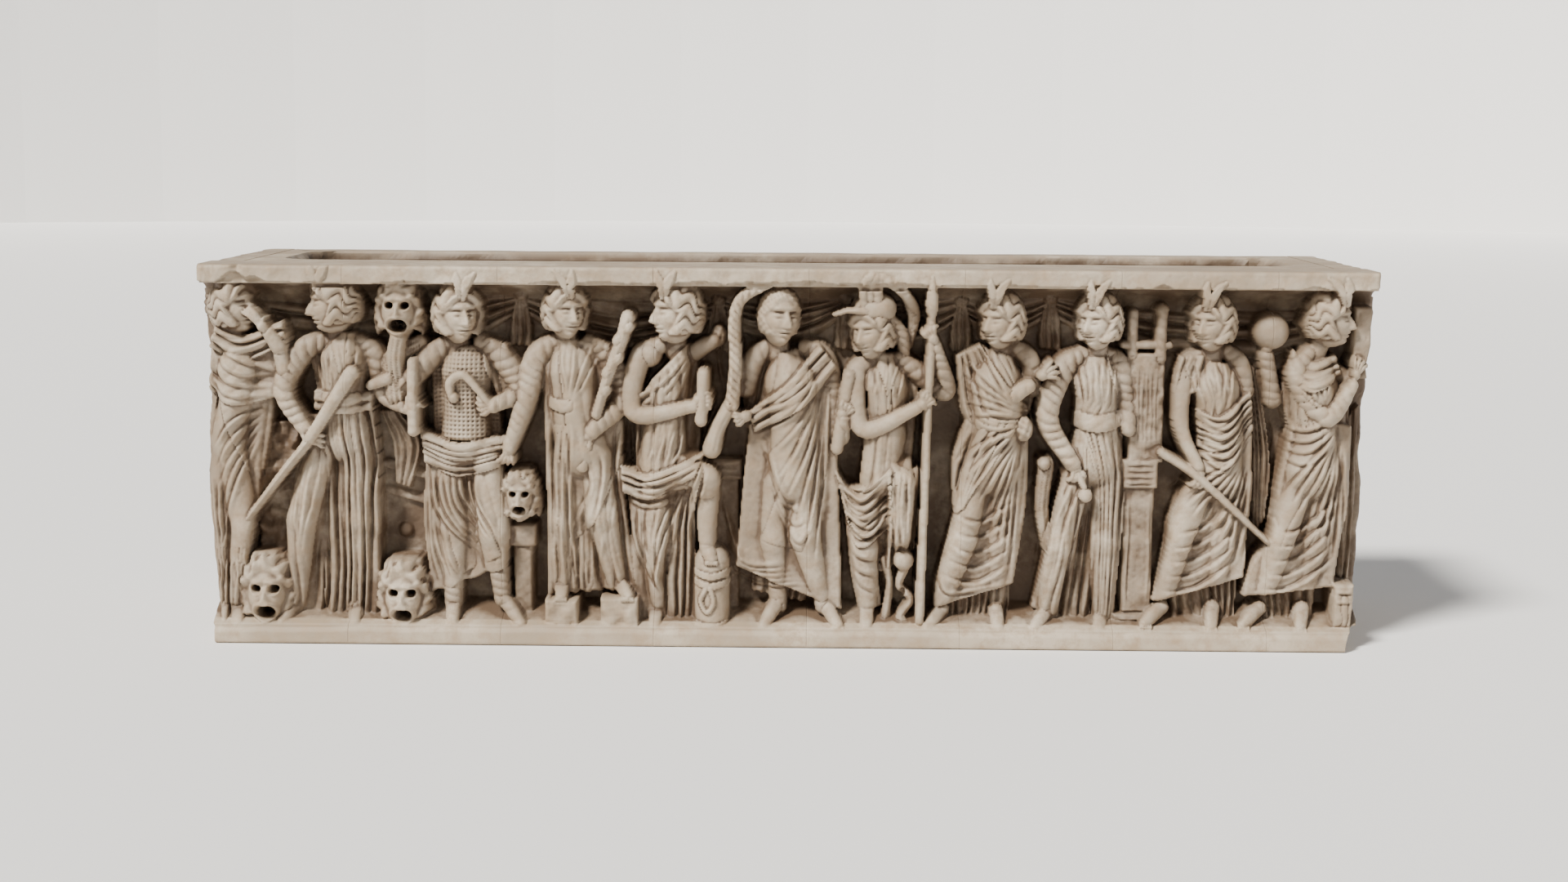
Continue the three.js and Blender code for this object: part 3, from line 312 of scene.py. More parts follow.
def head(at, turn=0, tilt=0, hair="bun", size=1.0, theatre=False, neck=0):
    """A head as a round form of two angles, turned and laid on the grid. The face is a calm
    general type: brow, sockets, lids, nose, cheeks, lips and chin are soft bumps in fixed shares
    of the head; the hair is a thicker shell of waved ridges drawn back to the nape."""
    if not theatre:
        tube([(at[0] + 0.3 * neck, at[1] - 14, at[2] - 8, 12.5), (at[0] + neck, at[1] - 34, at[2] - 12, 13),
              (at[0] + 1.4 * neck, at[1] - 46, at[2] - 15, 15)])
    theta, phi = np.meshgrid(np.linspace(0.01, math.pi - 0.01, 300), np.linspace(-math.pi, math.pi, 460))
    dx, df, dz = np.sin(theta) * np.sin(phi), np.sin(theta) * np.cos(phi), np.cos(theta)
    half_wide, half_deep, half_tall = 21.0, 25.0, 32.0
    r = 1 / np.sqrt((dx / half_wide) ** 2 + (df / half_deep) ** 2 + (dz / half_tall) ** 2)
    x, f, z = dx * r, df * r, dz * r
    x = x * (1 - (0.12 if theatre else 0.30) * np.clip(-z / 30, 0, 1) ** 1.4)
    m = np.abs(x)
    front = smooth(df * 2.2)
    lips = 0 if theatre else 1
    nose = np.clip((9 - z) / 17, 0, 1) * (1 - smooth((-8.5 - z) / 3.0))
    f = f + front * (
        9.0 * nose * np.exp(-((x / (2.4 + 2.2 * np.clip(-z / 9, 0, 1))) ** 2))
        + 2.6 * lump(m, z, 8.5, 10.5, 8.5, 2.4)
        - 6.6 * lump(m, z, 7.8, 4.8, 5.6, 3.8)
        + 5.2 * lump(m, z, 8.6, 4.0, 4.0, 2.3)
        - 2.6 * lump(m, z, 8.6, 0.8, 4.2, 1.0)
        - 2.4 * lump(m, z, 8.6, 7.0, 4.6, 1.0)
        + 2.0 * lump(m, z, 11.5, -5.0, 5.5, 6.0)
        + lips * 3.0 * lump(m, z, 1.5, -13.6, 5.5, 1.6)
        + lips * 3.2 * lump(m, z, 0.0, -17.8, 4.6, 1.8)
        - lips * 4.6 * lump(m, z, 0.0, -15.6, 6.4, 1.0)
        - lips * 2.2 * lump(m, z, 0.0, -20.8, 5.0, 1.8)
        + 4.6 * lump(m, z, 0.0, -25.5, 6.5, 5.0)
    )
    if theatre:
        f = f + front * (
            -20 * smooth(2.2 * (1.1 - np.hypot(x / 9.0, (z + 15.5) / 6.2)))
            + 4.5 * np.exp(-(((np.hypot(x / 9.0, (z + 15.5) / 6.2) - 1.35) / 0.22) ** 2))
            - 15 * smooth(2.2 * (1.1 - np.hypot((m - 8.8) / 4.4, (z - 4.5) / 3.4)))
            + 3.0 * np.exp(-(((np.hypot((m - 8.8) / 4.4, (z - 4.5) / 3.4) - 1.45) / 0.25) ** 2))
            + 3.5 * lump(m, z, 7.5, 11.5, 7.0, 2.2)
        )
    crown = smooth((z - 18.5 + 0.045 * m**2) / 3.5)
    sides = smooth((9.5 - f - 0.35 * z) / 3.0) * smooth((z + 20) / 5.0)
    cover = np.maximum(crown, sides)
    bearing = np.arctan2(z + 5, f + 24)
    wave = 1.1 * np.sin(0.34 * np.hypot(f + 24, z + 5) + 0.1 * m)
    locks = np.abs(np.sin(7.0 * bearing + wave)) ** 0.7
    if hair == "mask":
        locks = 0.5 + 0.5 * np.sin(0.46 * z + 1.3 * np.sin(0.25 * x)) * np.sin(0.42 * (x + f) + 0.2 * z)
    if hair == "short":
        locks = 0.35 + 0.35 * np.sin(0.9 * z + 0.4 * x) * np.sin(0.8 * x + 0.5 * f)
    thick = 3.4 if hair == "short" else 6.6
    swell = cover * (thick + (3.0 if hair == "short" else 6.0) * (locks - 0.6))
    n = np.sqrt(x**2 + f**2 + z**2)
    x, f, z = (c * (1 + swell / n) * size for c in (x, f, z))
    z = z * (1.16 if theatre else 1.0)
    a, b = math.radians(turn), math.radians(tilt)
    x, f = x * math.cos(a) + f * math.sin(a), f * math.cos(a) - x * math.sin(a)
    x, z = x * math.cos(b) + z * math.sin(b), z * math.cos(b) - x * math.sin(b)
    reach = 40 * size
    part, U, V = window((at[0] - reach, at[1] - reach), (at[0] + reach, at[1] + reach))
    i = np.rint((at[1] + z - V[0, 0]) / STEP_V).astype(int)
    j = np.rint((at[0] + x - U[0, 0]) / CELL).astype(int)
    ok = (i >= 0) & (i < U.shape[0]) & (j >= 0) & (j < U.shape[1]) & (f > -12)
    cell = (i * U.shape[1] + j)[ok]
    most = np.full(U.size, -99.0)
    np.maximum.at(most, cell, (at[2] + f)[ok])
    near = ok.copy()
    near[ok] = (at[2] + f)[ok] > most[cell] - 2.5
    cell = (i * U.shape[1] + j)[near]
    count = np.bincount(cell, minlength=U.size)
    total = np.bincount(cell, weights=(at[2] + f)[near], minlength=U.size)
    height = (total / np.maximum(count, 1)).reshape(U.shape)
    raise_to(part, height, count.reshape(U.shape) > 0)

    def spot(side, ahead, rise):
        """Where a point of the head's own frame lies on the grid."""
        px, pf = side * math.cos(a) + ahead * math.sin(a), ahead * math.cos(a) - side * math.sin(a)
        px, pz = px * math.cos(b) + rise * math.sin(b), rise * math.cos(b) - px * math.sin(b)
        return at[0] + px, at[1] + pz, at[2] + pf

    if hair == "bun":
        egg(spot(0, -31, -3), (9.5, 9.0, 9.0), locks=1.0)
        egg(spot(0, -24, 1), (8, 10, 9), locks=0.8)
    return spot


def hand(at, angle, reach=13, spread=0.34, curl=0.5, thumb=1):
    """A palm and four jointed fingers along an angle in degrees, and a thumb to one side."""
    def along(start, way, length):
        """The point that lies this far from the start in that direction."""
        return start[0] + length * math.cos(way), start[1] + length * math.sin(way)

    egg(at, (8.5, 7.5, 7), angle)
    middle = math.radians(angle)
    for k in range(4):
        way = middle + spread * (k - 1.5)
        base = along(along(at, way, 5), middle - math.pi / 2, 1.5 * (1.5 - k))
        tip = along(along(base, way, 0.6 * reach), way - curl, 0.4 * reach)
        tube([(*base, at[2] + 2, 3.3), (*along(base, way, 0.55 * reach), at[2] + 4, 3.1),
              (*tip, at[2] + 1, 2.5)])
    tube([(*at, 2.8), (*along(at, middle + 0.9 * thumb, 9), at[2] + 3, 2.3)])


body = [[(-664, 358, 36, 13), (-676, 317, 32, 27), (-684, 271, 30, 25), (-695, 225, 30, 29)],
        [(-706, 209, 30, 20), (-707, 128, 34, 17), (-707, 25, 34, 12)],
        [(-686, 210, 36, 20), (-670, 119, 44, 18), (-684, 26, 40, 12)]]
drape([(-719, 92), (-718, 17)], [(-665, 95), (-672, 20)], folds=6, out=34, body=body, hem=4, seed=1)
drape([(-716, 300), (-725, 226), (-723, 170), (-719, 67)],
      [(-640, 282), (-650, 211), (-655, 149), (-668, 77)],
      folds=0, out=42, body=body, seed=2)
drape([(-712, 318), (-690, 250), (-664, 190)], [(-634, 300), (-636, 255), (-648, 190)], folds=0, out=36,
      lift=3, body=body, seed=3)
drape([(-714, 345), (-677, 340), (-618, 350)], [(-716, 290), (-677, 273), (-620, 284)], folds=2, out=44,
      lift=7, body=body, seed=4)
drape([(-699, 372), (-665, 358), (-618, 376)], [(-712, 344), (-666, 328), (-612, 350)], folds=3, out=50,
      lift=9, body=body, deep=7, seed=5)
pleats([(-700, 347), (-669, 329), (-620, 314)], [(-709, 313), (-685, 286), (-625, 286)], 4, 4.0, 3.6)
pleats([(-641, 266), (-676, 253), (-716, 212)], [(-644, 238), (-673, 182), (-700, 105)], 5, 3.5, 3.6)
pleats([(-718, 197), (-712, 135), (-708, 84)], [(-693, 166), (-694, 125), (-700, 84)], 3, 3.0, 3.2)
pleats([(-706, 79), (-708, 58), (-708, 33)], [(-668, 79), (-669, 59), (-671, 33)], 5, 3.0, 2.6)
tube([(-617, 316, 50, 10), (-622, 344, 54, 9)])
foot((-707, 15, 36), (-703, -2, 58))
foot((-685, 14, 40), (-679, -2, 62))
head((-680, 392, 44), turn=62, tilt=-6, size=1.06)
tube([(-622, 344, 56, 10), (-633, 362, 62, 8)])
hand((-640, 371, 66), 128, reach=22, curl=-0.3, spread=0.07, thumb=-1)


# Theatre mask on the ledge between the first two figures: marble, wide drilled eyes, an open mouth
# and long locks. It is carved like a head, and its hollows are sunk afterwards.
def sink(at, halves, turn=0):
    """A drilled hollow of the given half sizes, its depth last."""
    part, U, V = window((at[0] - 30, at[1] - 30), (at[0] + 30, at[1] + 30))
    turn = math.radians(turn)
    x = ((U - at[0]) * math.cos(turn) + (V - at[1]) * math.sin(turn)) / halves[0]
    y = ((V - at[1]) * math.cos(turn) - (U - at[0]) * math.sin(turn)) / halves[1]
    relief[part] -= halves[2] * smooth(1.6 * (1.15 - np.hypot(x, y)))


def mask(at, size, beard=False, gape=1.0):
    """A hollow-eyed, open-mouthed face with ropes of hair down both sides; gape widens the mouth."""
    x, y, w = at
    head(at, size=size, hair="mask", theatre=True)
    for side in (-1, 1):
        sink((x + side * 8.8 * size, y + 5.2 * size), (4.6 * size, 4.2 * size, 20), side * 12)
    sink((x, y - 18.0 * size), (8.6 * size * gape, 6.4 * size * gape, 24))
    for side in (-1, 1):
        for k in range(3):
            a = 20 + 3.5 * k
            tube([(x + side * (a - 8) * size, y + (28 - 5 * k) * size, w + 4, 3.8),
                  (x + side * (a + 1) * size, y + (2 - 4 * k) * size, w + 2 - 5 * k, 4.0),
                  (x + side * (a - 1) * size, y - (20 + 4 * k) * size, w - 4 * k, 3.0)], twist=1.8)
    for k in range(7):
        b = math.radians(20 + 140 * k / 6)
        egg((x + 17 * size * math.cos(b), y + (9 + 23 * math.sin(b)) * size, w + 10),
            (5.5 * size, 7.0 * size, 8), locks=1.2)
    if beard:
        for k in range(5):
            egg((x + (k - 2) * 8 * size, y - (30 - abs(k - 2) * 4) * size, w + 8), (6, 6, 7), locks=1.2)


mask((-644, 38, 40), 1.25)

# Muse with the double flute: marble, high-belted chiton with long sleeves, facing left over her
# shoulder; one pipe runs down across her, broken and knobbly below the hand, the other upright.
def feathers(spot, lean=0.0):
    """Two upright feathers on the brow: leaf blades with a rib, curving apart."""
    x, y, w = spot(0, 16, 22)
    for side in (-1, 1):
        tip = side * 7 + lean
        tube([(x + side * 2, y - 1, 66, 3.2), (x + side * 3 + 0.3 * lean, y + 11, 72, 5.4),
              (x + 0.7 * tip + side * 2, y + 22, 74, 5.0), (x + tip * 1.6, y + 31, 74, 2.0)], rings=0.8)


body = [[(-541, 360, 38, 11), (-545, 329, 32, 30), (-547, 280, 32, 27), (-548, 230, 32, 31)],
        [(-573, 226, 36, 20), (-599, 130, 46, 19), (-609, 25, 36, 12)],
        [(-533, 225, 34, 20), (-532, 128, 36, 18), (-537, 21, 34, 12)]]
drape([(-592, 258), (-610, 180), (-621, 113), (-616, 16)], [(-562, 258), (-560, 170), (-566, 87), (-574, 12)],
      folds=4, out=36, body=body, hem=4, seed=6)
drape([(-578, 269), (-571, 170), (-575, 10)], [(-511, 269), (-505, 170), (-507, 12)], folds=8, out=42,
      body=body, deep=8, hem=5, seed=7)
drape([(-592, 357), (-586, 313), (-579, 282)], [(-503, 352), (-499, 313), (-509, 282)], folds=7, out=34,
      body=body, deep=4, seed=8)
drape([(-562, 362), (-548, 320), (-546, 288)], [(-530, 362), (-532, 320), (-538, 288)], folds=4, out=34,
      lift=2, body=body, deep=4, seed=9)
drape([(-582, 291), (-546, 287), (-511, 291)], [(-582, 267), (-546, 263), (-509, 267)], folds=2, out=46,
      lift=5, body=body, deep=3, seed=10)
drape([(-506, 262), (-491, 221), (-488, 178)], [(-484, 262), (-457, 224), (-470, 172)], folds=5, out=16,
      deep=6, hem=8, seed=11)
pleats([(-579, 344), (-577, 314), (-570, 289)], [(-556, 345), (-558, 314), (-556, 289)], 4, 2.5, 2.4)
pleats([(-523, 345), (-529, 315), (-532, 289)], [(-503, 340), (-509, 315), (-517, 287)], 3, 2.5, 2.4)
pleats([(-591, 218), (-602, 157), (-604, 95)], [(-571, 198), (-582, 152), (-599, 75)], 3, 3.0, 3.4)
tube([(-566, 352, 34, 11), (-596, 338, 36, 15), (-619, 290, 46, 13), (-586, 236, 60, 9)], rings=2.4)
tube([(-526, 350, 34, 10), (-508, 334, 34, 13), (-497, 285, 36, 11), (-463, 268, 54, 8)], rings=1.5)
tube([(-533, 312, 68, 9), (-583, 234, 70, 7)])
egg((-531, 314, 68), (9, 9, 8))
tube([(-585, 230, 68, 6), (-620, 188, 64, 5.5), (-671, 123, 56, 4)], rough=2.6)
tube([(-512, 297, 50, 6), (-489, 306, 54, 8)])
tube([(-458, 326, 58, 7), (-458, 300, 62, 7), (-457, 243, 62, 8)], rings=0.8)
hand((-586, 232, 62), 10, reach=13, thumb=1)
hand((-462, 270, 60), 60, reach=12, curl=1.2)
foot((-609, 17, 36), (-623, -2, 60))
foot((-537, 15, 38), (-534, -2, 62))
feathers(head((-556, 396, 46), turn=-68, tilt=-4, size=1.1), lean=3)

mask((-474, 34, 42), 1.2)

# Muse in a knitted coat with a mask held up on her arm: marble, dotted cut-down coat, mantle over
# one shoulder and in two thick rolls at the waist, a curved crook in her hand, bound boots.
tube([(-452, 350, 34, 10), (-482, 330, 40, 14), (-480, 285, 46, 13)], rough=1.6)
body = [[(-395, 351, 38, 11), (-394, 317, 32, 32), (-395, 271, 32, 28), (-396, 230, 32, 32)],
        [(-416, 210, 32, 20), (-411, 118, 36, 18), (-413, 25, 36, 13)],
        [(-369, 211, 38, 20), (-360, 114, 46, 20), (-355, 38, 38, 13)]]
tube([(-413, 90, 34, 14), (-414, 24, 38, 11)], rings=1.6)
tube([(-360, 100, 40, 14), (-352, 30, 40, 11)], rings=1.6)
drape([(-446, 211), (-449, 129), (-440, 40)], [(-350, 205), (-341, 134), (-345, 76)], folds=3, out=44,
      body=body, deep=3, hem=4, seed=12)
drape([(-440, 205), (-426, 150), (-404, 62)], [(-398, 198), (-370, 140), (-352, 88)], folds=0, out=42,
      lift=1, body=body, deep=6, seed=13)
drape([(-434, 348), (-438, 303), (-436, 231)], [(-350, 345), (-358, 303), (-350, 231)], folds=0, out=34,
      body=body, knit=3.6)
drape([(-376, 358), (-368, 318), (-356, 285)], [(-344, 348), (-327, 308), (-333, 283)], folds=4, out=38,
      lift=5, body=body, seed=14)
drape([(-449, 243), (-405, 228), (-344, 237)], [(-448, 222), (-404, 206), (-347, 217)], folds=3, out=50,
      lift=9, body=body, seed=15)
drape([(-448, 222), (-404, 205), (-348, 217)], [(-446, 203), (-404, 186), (-353, 198)], folds=3, out=48,
      lift=6, body=body, seed=16)
pleats([(-439, 199), (-426, 138), (-366, 77)], [(-385, 189), (-378, 154), (-348, 105)], 7, 4.5, 3.2)
pleats([(-441, 179), (-439, 107), (-427, 45)], [(-426, 128), (-416, 87), (-396, 51)], 4, 4.0, 3.2)
tube([(-416, 350, 34, 11), (-438, 332, 34, 15), (-478, 290, 42, 13), (-452, 318, 50, 10)], rings=1.8)
tube([(-478, 290, 42, 12), (-480, 330, 50, 12), (-476, 356, 54, 11)], rough=1.6)
tube([(-376, 350, 34, 11), (-352, 332, 34, 15), (-329, 292, 42, 13), (-359, 274, 62, 9)], rings=1.8)
tube([(-409, 284, 66, 5), (-412, 302, 66, 5.5), (-396, 313, 67, 5.5), (-379, 297, 68, 5), (-362, 275, 66, 5)])
egg((-407, 284, 66), (6, 7, 6))
hand((-361, 276, 64), 200, reach=13, curl=0.8)
foot((-414, 22, 38), (-412, -3, 62), bound=1.4)
foot((-350, 26, 42), (-327, -2, 62), bound=1.4)
feathers(head((-404, 384, 48), turn=30, size=1.08), lean=4)
mask((-476, 391, 42), 1.06, gape=1.3)

# Bearded mask on a slim post: marble, smaller than the others, its hair in ropes and its beard in
# five curls. The post's capital carries it, and the next muse's hand rests above it.
slab((-339, -12, 2), (-314, 104, 38), taper=0.1)
slab((-345, 96, 2), (-309, 124, 44))
mask((-329, 160, 44), 0.86, beard=True)

# Muse with the club: marble, long sleeved robe belted high, mantle edge falling slantwise; a
# knotted club leans on her arm, and each foot stands on its own rough block.
body = [[(-267, 351, 38, 12), (-265, 317, 32, 33), (-261, 271, 32, 33), (-253, 220, 32, 36)],
        [(-275, 210, 34, 20), (-277, 128, 38, 18), (-278, 47, 36, 13)],
        [(-233, 211, 38, 20), (-227, 138, 48, 20), (-209, 51, 38, 13)]]
drape([(-305, 345), (-299, 272), (-296, 170), (-295, 39)],
      [(-218, 350), (-206, 252), (-198, 149), (-184, 50)],
      folds=7, out=44, body=body, deep=5, hem=5, seed=17)
drape([(-286, 250), (-284, 170), (-282, 44)], [(-250, 250), (-246, 170), (-240, 44)], folds=4, out=44,
      lift=1, body=body, deep=7, seed=18)
drape([(-281, 358), (-274, 300), (-262, 180), (-262, 105)],
      [(-218, 348), (-204, 272), (-206, 205), (-236, 130)],
      folds=3, out=44, lift=4, body=body, deep=4, seed=19)
drape([(-292, 286), (-276, 282), (-262, 284)], [(-291, 272), (-276, 268), (-262, 270)], folds=1, out=46,
      lift=5, body=body, deep=3, seed=20)
pleats([(-275, 352), (-271, 317), (-266, 281)], [(-218, 357), (-238, 317), (-258, 281)], 4, 2.8, 2.6)
pleats([(-281, 261), (-284, 180), (-285, 47)], [(-261, 261), (-264, 180), (-267, 52)], 3, 4.0, 3.0)
pleats([(-241, 201), (-239, 170), (-264, 119)], [(-193, 262), (-191, 181), (-188, 99)], 4, 3.5, 3.4)
pleats([(-264, 109), (-259, 78), (-254, 37)], [(-224, 119), (-229, 78), (-229, 37)], 4, 3.5, 3.0)
tube([(-284, 352, 34, 11), (-308, 332, 36, 16), (-320, 282, 48, 14), (-340, 222, 56, 9)], rings=1.6)
tube([(-244, 350, 34, 11), (-219, 330, 34, 15), (-201, 283, 42, 14), (-238, 244, 62, 10)], rings=1.8)
tube([(-194, 384, 58, 9), (-203, 352, 60, 8), (-216, 318, 62, 7), (-232, 265, 66, 6)], rough=1.0)
for knot in ((-193, 372, 60), (-206, 356, 60), (-206, 334, 62), (-219, 316, 62), (-221, 294, 64)):
    egg(knot, (9, 7, 9), 60, locks=0.6)
tube([(-238, 244, 62, 6), (-250, 200, 62, 7.5)])
hand((-341, 218, 58), 262, reach=12, spread=0.3)
hand((-242, 238, 64), 236, reach=13, curl=0.7)
slab((-297, -15, 10), (-256, 34, 66), rough=1.6)
slab((-229, -13, 10), (-181, 37, 68), rough=1.6)
foot((-278, 48, 38), (-277, 33, 62))
foot((-208, 48, 40), (-194, 34, 64))
feathers(head((-272, 388, 48), turn=32), lean=-5)

# Muse with a foot on a scroll box: marble, one shoulder bare, mantle rolled over the lap and
# falling in a cascade between the legs; she holds a scroll. The box is a strapped drum.
slab((-89, 8, 2), (-58, 197, 20))
slab((-93, 180, 2), (-54, 206, 25))
pleats([(-92, 184), (-55, 184)], [(-92, 201), (-55, 201)], 3, 2.4, 1.8)
body = [[(-134, 358, 38, 13), (-147, 322, 34, 30), (-149, 261, 34, 26), (-152, 200, 34, 31)],
        [(-162, 200, 36, 20), (-160, 108, 40, 18), (-160, 25, 36, 13)],
        [(-136, 199, 46, 18), (-101, 186, 58, 15), (-97, 98, 54, 10)]]
egg((-170, 338, 34), (18, 18, 22))
tube([(-140, 186, 42, 18), (-98, 188, 56, 16), (-97, 172, 54, 14)])
tube([(-95, 170, 48, 14), (-97, 120, 50, 12), (-96, 90, 54, 9)])
drape([(-166, 305), (-184, 272), (-186, 180)], [(-119, 352), (-106, 303), (-108, 190)], folds=5, out=34,
      body=body, deep=5, seed=21)
drape([(-201, 197), (-192, 130), (-190, 60), (-181, 12)], [(-126, 190), (-137, 118), (-144, 67), (-143, 14)],
      folds=3, out=45, body=body, deep=4, hem=5, seed=22)
drape([(-120, 204), (-138, 149), (-146, 67), (-145, 12)], [(-98, 208), (-112, 149), (-112, 67), (-114, 10)],
      folds=4, out=44, lift=2, body=body, deep=8, hem=8, seed=23)
drape([(-203, 200), (-166, 192), (-100, 218)], [(-200, 166), (-166, 160), (-112, 190)], folds=4, out=48,
      lift=8, body=body, deep=6, seed=24)
drape([(-186, 300), (-178, 290), (-168, 300)], [(-196, 270), (-180, 262), (-166, 275)], folds=3, out=50,
      lift=5, deep=5, seed=25)
pleats([(-168, 292), (-148, 308), (-113, 348)], [(-103, 273), (-103, 308), (-103, 338)], 5, 2.6, 2.6)
pleats([(-183, 247), (-186, 221), (-191, 201)], [(-123, 247), (-130, 222), (-138, 201)], 6, 2.8, 2.4)
pleats([(-196, 193), (-158, 181), (-95, 212)], [(-196, 160), (-173, 150), (-123, 161)], 4, 4.0, 3.4)
pleats([(-196, 160), (-183, 99), (-143, 27)], [(-123, 161), (-148, 110), (-163, 37)], 6, 4.0, 3.2)
pleats([(-118, 181), (-133, 140), (-140, 99)], [(-95, 197), (-110, 130), (-110, 84)], 4, 4.5, 3.0)
tube([(-156, 348, 38, 11), (-181, 332, 42, 14), (-186, 266, 54, 12), (-112, 276, 66, 8)])
tube([(-113, 340, 30, 12), (-90, 354, 38, 9)])
egg((-84, 360, 28), (10, 14, 12), locks=1.5)
tube([(-101, 316, 66, 8), (-104, 258, 66, 8)])
hand((-106, 284, 66), 10, reach=12, curl=1.0)
tube([(-91, 78, 44, 21), (-91, 74, 44, 22), (-91, 4, 46, 22), (-91, -4, 46, 21)])
for y in (70, 58, 6):
    drape([(-113, y + 3), (-91, y - 2), (-69, y + 3)], [(-113, y - 4), (-91, y - 9), (-69, y - 4)], folds=0,
          out=40, lift=2, body=[[(-91, 90, 45, 22), (-91, -20, 47, 22)]], edge=2)
tube([(-97, 50, 66, 3), (-104, 34, 66, 3), (-96, 20, 68, 3), (-88, 32, 68, 3), (-92, 50, 68, 3)])
foot((-97, 95, 54), (-91, 80, 62))
foot((-161, 17, 38), (-161, -3, 62))
feathers(head((-136, 388, 46), turn=-58, size=1.13), lean=2)

# Kithara between that muse and the man: marble, one arm curved and twisted like a rope, bent over
# at its top under the rim.
tube([(-91, 222, 58, 12), (-84, 248, 60, 10), (-66, 282, 62, 9)], rough=0.8)
tube([(-66, 278, 62, 9), (-62, 335, 62, 8), (-64, 375, 62, 8), (-56, 407, 62, 7.5), (-22, 428, 64, 7)],
     twist=4.0)

# The man in the middle: marble, short hair, wrapped in a mantle whose thick upper edge slings his
# hand; a scroll in the other. The mantle hangs in long curves over one knee to mid-shin.
body = [[(-1, 347, 38, 13), (6, 304, 34, 34), (11, 241, 34, 33), (11, 190, 34, 37)],
        [(-13, 180, 36, 20), (-15, 108, 42, 18), (-8, 27, 36, 12)],
        [(28, 180, 38, 20), (24, 115, 48, 20), (47, 28, 38, 12)]]
tube([(-13, 90, 34, 13), (-8, 24, 36, 11)])
tube([(40, 90, 34, 13), (48, 24, 40, 11)])
drape([(-42, 90), (-41, 44)], [(32, 78), (26, 30)], folds=7, out=30, deep=6, hem=4, seed=26)
drape([(-38, 332), (-53, 292), (-49, 246)], [(30, 350), (32, 303), (-5, 262)], folds=5, out=34, body=body,
      deep=4, seed=27)
drape([(-45, 252), (-53, 170), (-60, 76)], [(60, 330), (64, 211), (68, 108), (70, 22)], folds=0, out=48,
      body=body, deep=6, sway=0.05, hem=4, seed=28)
drape([(40, 300), (10, 220), (-30, 110)], [(58, 300), (50, 200), (20, 96)], folds=0, out=49, lift=1,
      body=body, deep=5, seed=29)
drape([(40, 352), (4, 308), (-46, 268)], [(62, 324), (22, 278), (-38, 244)], folds=4, out=50, lift=9,
      body=body, deep=6, seed=30)
pleats([(51, 329), (7, 284), (-53, 263)], [(56, 309), (48, 183), (39, 65)], 8, 4.0, 3.4)
pleats([(-82, 161), (-52, 85), (9, 80)], [(-77, 90), (-42, 54), (34, 55)], 5, 4.0, 3.6)
pleats([(-27, 233), (-7, 182), (13, 152)], [(-12, 162), (14, 111), (34, 132)], 4, 3.6, 3.6)
pleats([(-88, 348), (-83, 318), (-78, 283)], [(-53, 348), (-53, 323), (-58, 288)], 3, 2.8, 2.6)
tube([(-22, 348, 34, 11), (-40, 332, 36, 14), (-50, 296, 36, 13)], rings=0.8)
tube([(24, 346, 34, 11), (48, 329, 34, 15), (66, 240, 44, 12), (70, 262, 58, 9)], rings=1.2)
tube([(77, 314, 56, 8), (63, 224, 56, 8)])
hand((-50, 264, 64), 200, reach=10, curl=0.6)
hand((70, 268, 60), 60, reach=11, curl=1.2)
foot((-8, 26, 38), (-26, -2, 62))
foot((48, 24, 40), (66, -1, 64))
head((-10, 385, 48), turn=24, tilt=2, hair="short", size=1.12)

# Helmeted goddess with a spear: marble, bare left arm, mantle in scallops over a raised knee, the
# shin broken away; crested helmet with a visor. Under the knee an openwork rest in bird form.
body = [[(120, 335, 38, 12), (121, 302, 34, 30), (122, 241, 34, 27), (112, 195, 34, 31)],
        [(99, 195, 36, 20), (98, 98, 40, 18), (102, 25, 36, 13)],
        [(122, 194, 46, 18), (144, 184, 58, 16), (142, 116, 54, 13)]]
slab((120, -14, 0), (160, 100, 14), rough=2.0)
tube([(123, 84, 40, 6), (130, 50, 36, 5), (122, -6, 44, 7)], rough=1.2)
egg((147, 84, 46), (13, 13, 14))
tube([(149, 75, 46, 6), (142, 52, 44, 5), (156, 34, 44, 5), (144, 14, 46, 6), (152, -4, 50, 9)], rough=1.4)
sink((146, 44, 0), (4, 6, 14))
sink((136, 22, 0), (4, 7, 12))
drape([(72, 172), (76, 118), (82, 67), (92, 22)], [(125, 185), (120, 118), (116, 67), (120, 26)], folds=0,
      out=38, body=body, deep=6, hem=4, seed=31)
drape([(125, 196), (121, 129), (118, 72)], [(164, 200), (164, 140), (160, 96)], folds=4, out=42, body=body,
      deep=7, hem=6, seed=32)
for k in range(4):
    drape([(62 + 3 * k, 196 - 14 * k), (88, 168 - 16 * k), (130, 202 - 20 * k)],
          [(66 + 3 * k, 180 - 14 * k), (92, 150 - 16 * k), (128, 184 - 20 * k)], folds=2, out=47, lift=7 - k,
          body=body, deep=6, seed=33 + k)
drape([(93, 332), (100, 282), (92, 182)], [(155, 337), (162, 292), (154, 190)], folds=5, out=34, body=body,
      deep=4, hem=5, seed=38)
drape([(104, 342), (122, 300), (126, 262)], [(146, 342), (128, 300), (130, 262)], folds=3, out=34, lift=3,
      body=body, deep=4, seed=39)
pleats([(102, 330), (100, 304), (97, 284)], [(162, 335), (152, 305), (150, 285)], 6, 2.6, 2.4)
pleats([(66, 188), (94, 173), (129, 204)], [(69, 137), (104, 117), (129, 153)], 6, 4.5, 3.2)
pleats([(74, 132), (87, 96), (122, 86)], [(82, 86), (95, 55), (125, 45)], 3, 4.0, 4.0)
pleats([(129, 199), (129, 132), (131, 30)], [(154, 204), (152, 153), (155, 112)], 4, 4.5, 3.0)
tube([(106, 332, 38, 10), (86, 314, 44, 14), (95, 249, 56, 12), (160, 276, 66, 8)])
tube([(138, 334, 34, 10), (159, 319, 34, 13), (196, 295, 38, 13), (181, 352, 58, 9)], rings=1.5)
